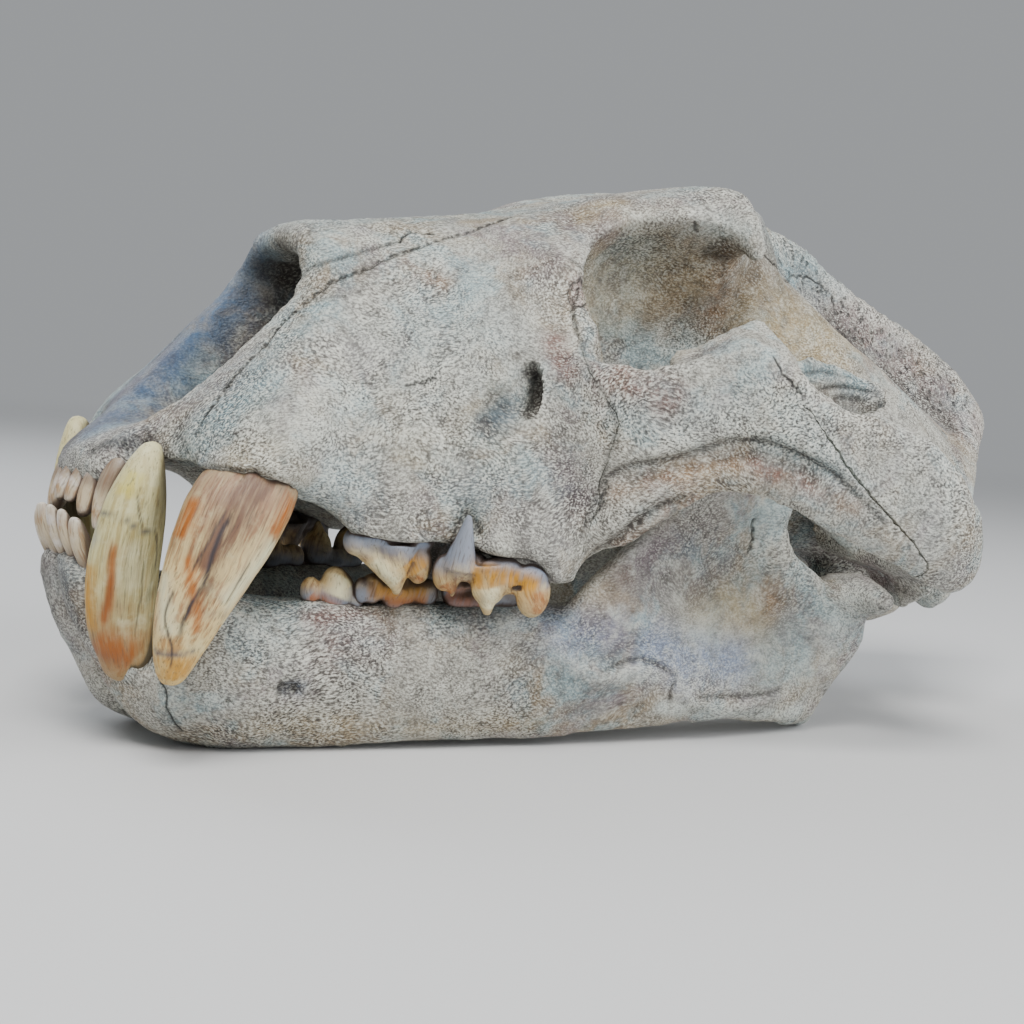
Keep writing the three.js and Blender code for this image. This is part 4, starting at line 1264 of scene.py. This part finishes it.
# Noises of the bone: size in mm, detail, roughness, seed. Warps: size in mm, and how far in metres.
boneNoises = {"mottle": (8, 5, 0.62, 0), "speckle": (1.0, 4, 0.62, 0.3), "strokes": (0.62, 3, 0.55, 0.7),
              "broken": (9, 5, 0.7, 0.5), "rough": (26, 4, 0.6, 0.9), "pebbles": (3.0, 5, 0.68, 1.1)}
boneWarps = {"bent": (22, 0.016), "flow": (40, 0.02), "pebbles": (12, 0.006)}
# Broad patches: tone, size in mm, detail, roughness, seed, where the noise starts and ends, strength.
bonePatches = [("grey", 60, 4, 0.6, 0.1, 0.42, 0.62, 0.7), ("warm", 34, 5, 0.62, 0.2, 0.46, 0.64, 0.75),
               ("violet", 28, 5, 0.65, 0.6, 0.52, 0.66, 0.6), ("cyan", 22, 5, 0.65, 0.4, 0.48, 0.64, 0.75)]
boneShine = {"strokeStretch": (0.6, 1, 1), "poreSize": 3.4, "roughness": (0.48, 0.3), "specular": 0.45,
             "bumpDistance": 0.0012, "bumpStrength": 0.9}


def boneFinish():
    bone = Finish("fossilBone")
    tones = {key: tone(*value) for key, value in (boneTones | bonePigments).items()}
    layer = bone.layer
    bent = bone.warped(bone.place, *boneWarps["bent"])
    flow = bone.warped(bone.place, *boneWarps["flow"])
    mottle = bone.noise(bent, *boneNoises["mottle"])
    speckle = bone.noise(bone.place, *boneNoises["speckle"])
    strokes = bone.noise(bone.vector("MULTIPLY", flow, boneShine["strokeStretch"]), *boneNoises["strokes"])
    pebbles = bone.noise(bone.warped(bone.place, *boneWarps["pebbles"]), *boneNoises["pebbles"])
    broken = bone.noise(bent, *boneNoises["broken"]).between(0.3, 0.6)
    calm = 1 - 0.65 * layer("smooth")
    rough = bone.noise(bent, *boneNoises["rough"]).between(0.38, 0.62) * calm
    cells = bone.add("TexVoronoi", None, {"Vector": flow, "Scale": 1000 / boneShine["poreSize"]})
    pores = (1 - (cells + 0.5 * speckle)).between(0.42, 0.6) * layer("porous")
    notBlue = 1 - 0.7 * layer("blue")                    # the blue stain takes few light specks
    # Tone over tone, each with its share: where it starts and ends, and its strength.
    layers = [(name, bone.noise(bent, size, detail, uneven, seed).between(low, high) * share)
              for name, size, detail, uneven, seed, low, high, share in bonePatches]
    layers += [(name, layer(name) * (0.45 + 0.55 * broken)) for name in bonePigments]
    layers += [
        # Raised edges are lightened, and hollows take the shadow tone as painted shade.
        ("light", (layer("broadEdge") * 0.2 + layer("fineEdge") * 0.12) * (1 - 0.95 * layer("blue"))),
        ("shadow", layer("broadHollow") * 0.45 + layer("fineHollow") * 0.45),
        ("light", mottle.between(0.5, 0.7) * 0.38 * notBlue),
        ("shadow", (1 - mottle).between(0.5, 0.72) * 0.45),
        ("grain", pebbles.between(0.52, 0.68) * (0.15 + 0.42 * calm)),
        ("light", (1 - pebbles).between(0.54, 0.7) * (0.1 + 0.28 * rough) * notBlue),
        ("grain", strokes.between(0.47, 0.62) * (0.38 * calm + 0.05 + 0.45 * rough)),
        ("light", (1 - strokes).between(0.5, 0.64) * (0.34 * calm + 0.04 + 0.4 * rough) * notBlue),
        ("grain", speckle.between(0.52, 0.66) * (0.12 + 0.36 * calm)),
        ("crack", pores * 0.7),
        # Painted shade: sheltered places take the shadow tone, and the crack tone deepest in. The dark layer
        # holds real cracks and seams, and also painted shade in the cheek hole, the nose and under the
        # brow's hook.
        ("shadow", layer("sheltered").between(0.35, 1.0) * 0.25),
        ("crack", layer("sheltered").between(0.62, 0.95) * 0.75),
        ("crack", layer("dark"))]
    dull, uneven = boneShine["roughness"]
    colour = bone.layered(tones["base"], [(tones[name], share) for name, share in layers])
    bone.shade({"Base Color": colour, "Roughness": dull + uneven * mottle,
                "Specular IOR Level": boneShine["specular"]})
    bone.bumped(mottle * 0.9 + speckle * 0.35 - strokes * 0.3 - pores * 0.6, boneShine["bumpDistance"],
                boneShine["bumpStrength"])
    return bone.material


# Tones of each kind of tooth, how strongly its root is toned, and where on the crown that tone ends. The
# vein tone also serves as painted shade.
toothTones = {
    "upperCanine": {"base": (218, 194, 138), "deep": (158, 112, 70), "root": (134, 104, 84),
                    "tip": (204, 168, 92), "light": (224, 216, 168), "vein": (64, 50, 42)},
    "lowerCanine": {"base": (208, 200, 146), "deep": (178, 160, 104), "root": (140, 90, 48),
                    "tip": (214, 206, 160), "light": (224, 222, 178), "vein": (84, 74, 56)},
    "cheekTooth": {"base": (186, 158, 108), "deep": (134, 98, 56), "root": (126, 134, 148),
                   "tip": (190, 172, 128), "light": (212, 198, 152), "vein": (70, 54, 42)},
    "frontTooth": {"base": (202, 186, 156), "deep": (160, 122, 80), "root": (112, 92, 80),
                   "tip": (220, 214, 202), "light": (224, 220, 216), "vein": (92, 76, 66)}}
toothRoots = {"upperCanine": (0.7, 0.25), "lowerCanine": (0.7, 0.25), "cheekTooth": (0.95, 0.38),
              "frontTooth": (0.7, 0.2)}
toothPigments = {"yellow": (204, 188, 60), "amber": (188, 132, 20), "cream": (222, 216, 176),
                 "umber": (98, 68, 52), "orange": (164, 88, 4), "steel": (126, 138, 158),
                 "ring": (84, 84, 94), "crack": (38, 36, 46)}
toothNoises = {"streaks": (1.6, 4, 0.6, 0.2), "fineStreaks": (0.6, 3, 0.6, 0.5), "clouds": (8, 4, 0.6)}
toothShine = {"warp": (9, 0.002), "rootFade": 0.45, "roughness": (0.3, 0.35), "bumpDistance": 0.0006,
              "bumpStrength": 0.8}


def toothFinish(kind):
    tooth = Finish(kind + "Enamel")
    tones = {key: tone(*value) for key, value in (toothTones[kind] | toothPigments).items()}
    layer = tooth.layer
    grain = tooth.warped(layer("grain", "Vector"), *toothShine["warp"])
    streaks = tooth.noise(grain, *toothNoises["streaks"])
    fineStreaks = tooth.noise(grain, *toothNoises["fineStreaks"])
    clouds = tooth.noise(tooth.place, *toothNoises["clouds"])
    crown = layer("crown")
    rootStrength, rootEnd = toothRoots[kind]
    rootShare = (1 - (crown + clouds * 0.5 - rootEnd) / toothShine["rootFade"]).between(0, 1)
    layers = [("deep", streaks.between(0.44, 0.62) * 0.9), ("light", clouds.between(0.5, 0.68) * 0.7),
              ("root", rootShare * rootStrength), ("tip", crown.between(0.6, 1.0) * 0.6)]
    layers += [(name, layer(name) * (0.45 + 0.55 * streaks.between(0.3, 0.55))) for name in toothPigments]
    # Fine streaks take the vein tone; hollows and sheltered places take it too, as painted shade.
    layers += [("vein", fineStreaks.between(0.55, 0.68) * 0.5), ("vein", layer("fineHollow") * 0.7),
               ("vein", layer("sheltered").between(0.3, 0.6) * 0.9)]
    dull, uneven = toothShine["roughness"]
    colour = tooth.layered(tones["base"], [(tones[name], share) for name, share in layers])
    tooth.shade({"Base Color": colour, "Roughness": dull + uneven * streaks})
    tooth.bumped(streaks * 0.6 - fineStreaks * 0.5, toothShine["bumpDistance"], toothShine["bumpStrength"])
    return tooth.material


finishes = {kind: toothFinish(kind) for kind in toothTones}
finishes["bone"] = boneFinish()
kindByWord = {"upperCanine": "upperCanine", "lowerCanine": "lowerCanine", "Incisor": "frontTooth"}
for piece in bones + teeth:
    kind = "bone" if piece in bones else "cheekTooth"
    for word, finish in kindByWord.items():
        kind = finish if word in piece.name else kind
    piece.data.materials.clear()
    piece.data.materials.append(finishes[kind])
print("finishes on")

# Every piece rides on the one body, and the bones and canines stand for their CAD nodes.
smoothUpTo = math.radians(50)
replaced = {"craniumBone": "cranium"}
for piece, node in (("jugal", "jugal"), ("mandible", "mandible"), ("upperCanine", "upper_canine"),
                    ("lowerCanine", "lower_canine")):
    for side in ("Left", "Right"):
        replaced[piece + side] = node + "_" + side.lower()
for piece in bones + teeth:
    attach(piece, "root")
    "bone" if piece in bones else "ivory"
    if piece.name in replaced:
        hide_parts(replaced[piece.name])
    pick(piece)
    if piece in bones:
        bpy.ops.object.shade_smooth_by_angle(angle=smoothUpTo)
    else:
        bpy.ops.object.shade_smooth()
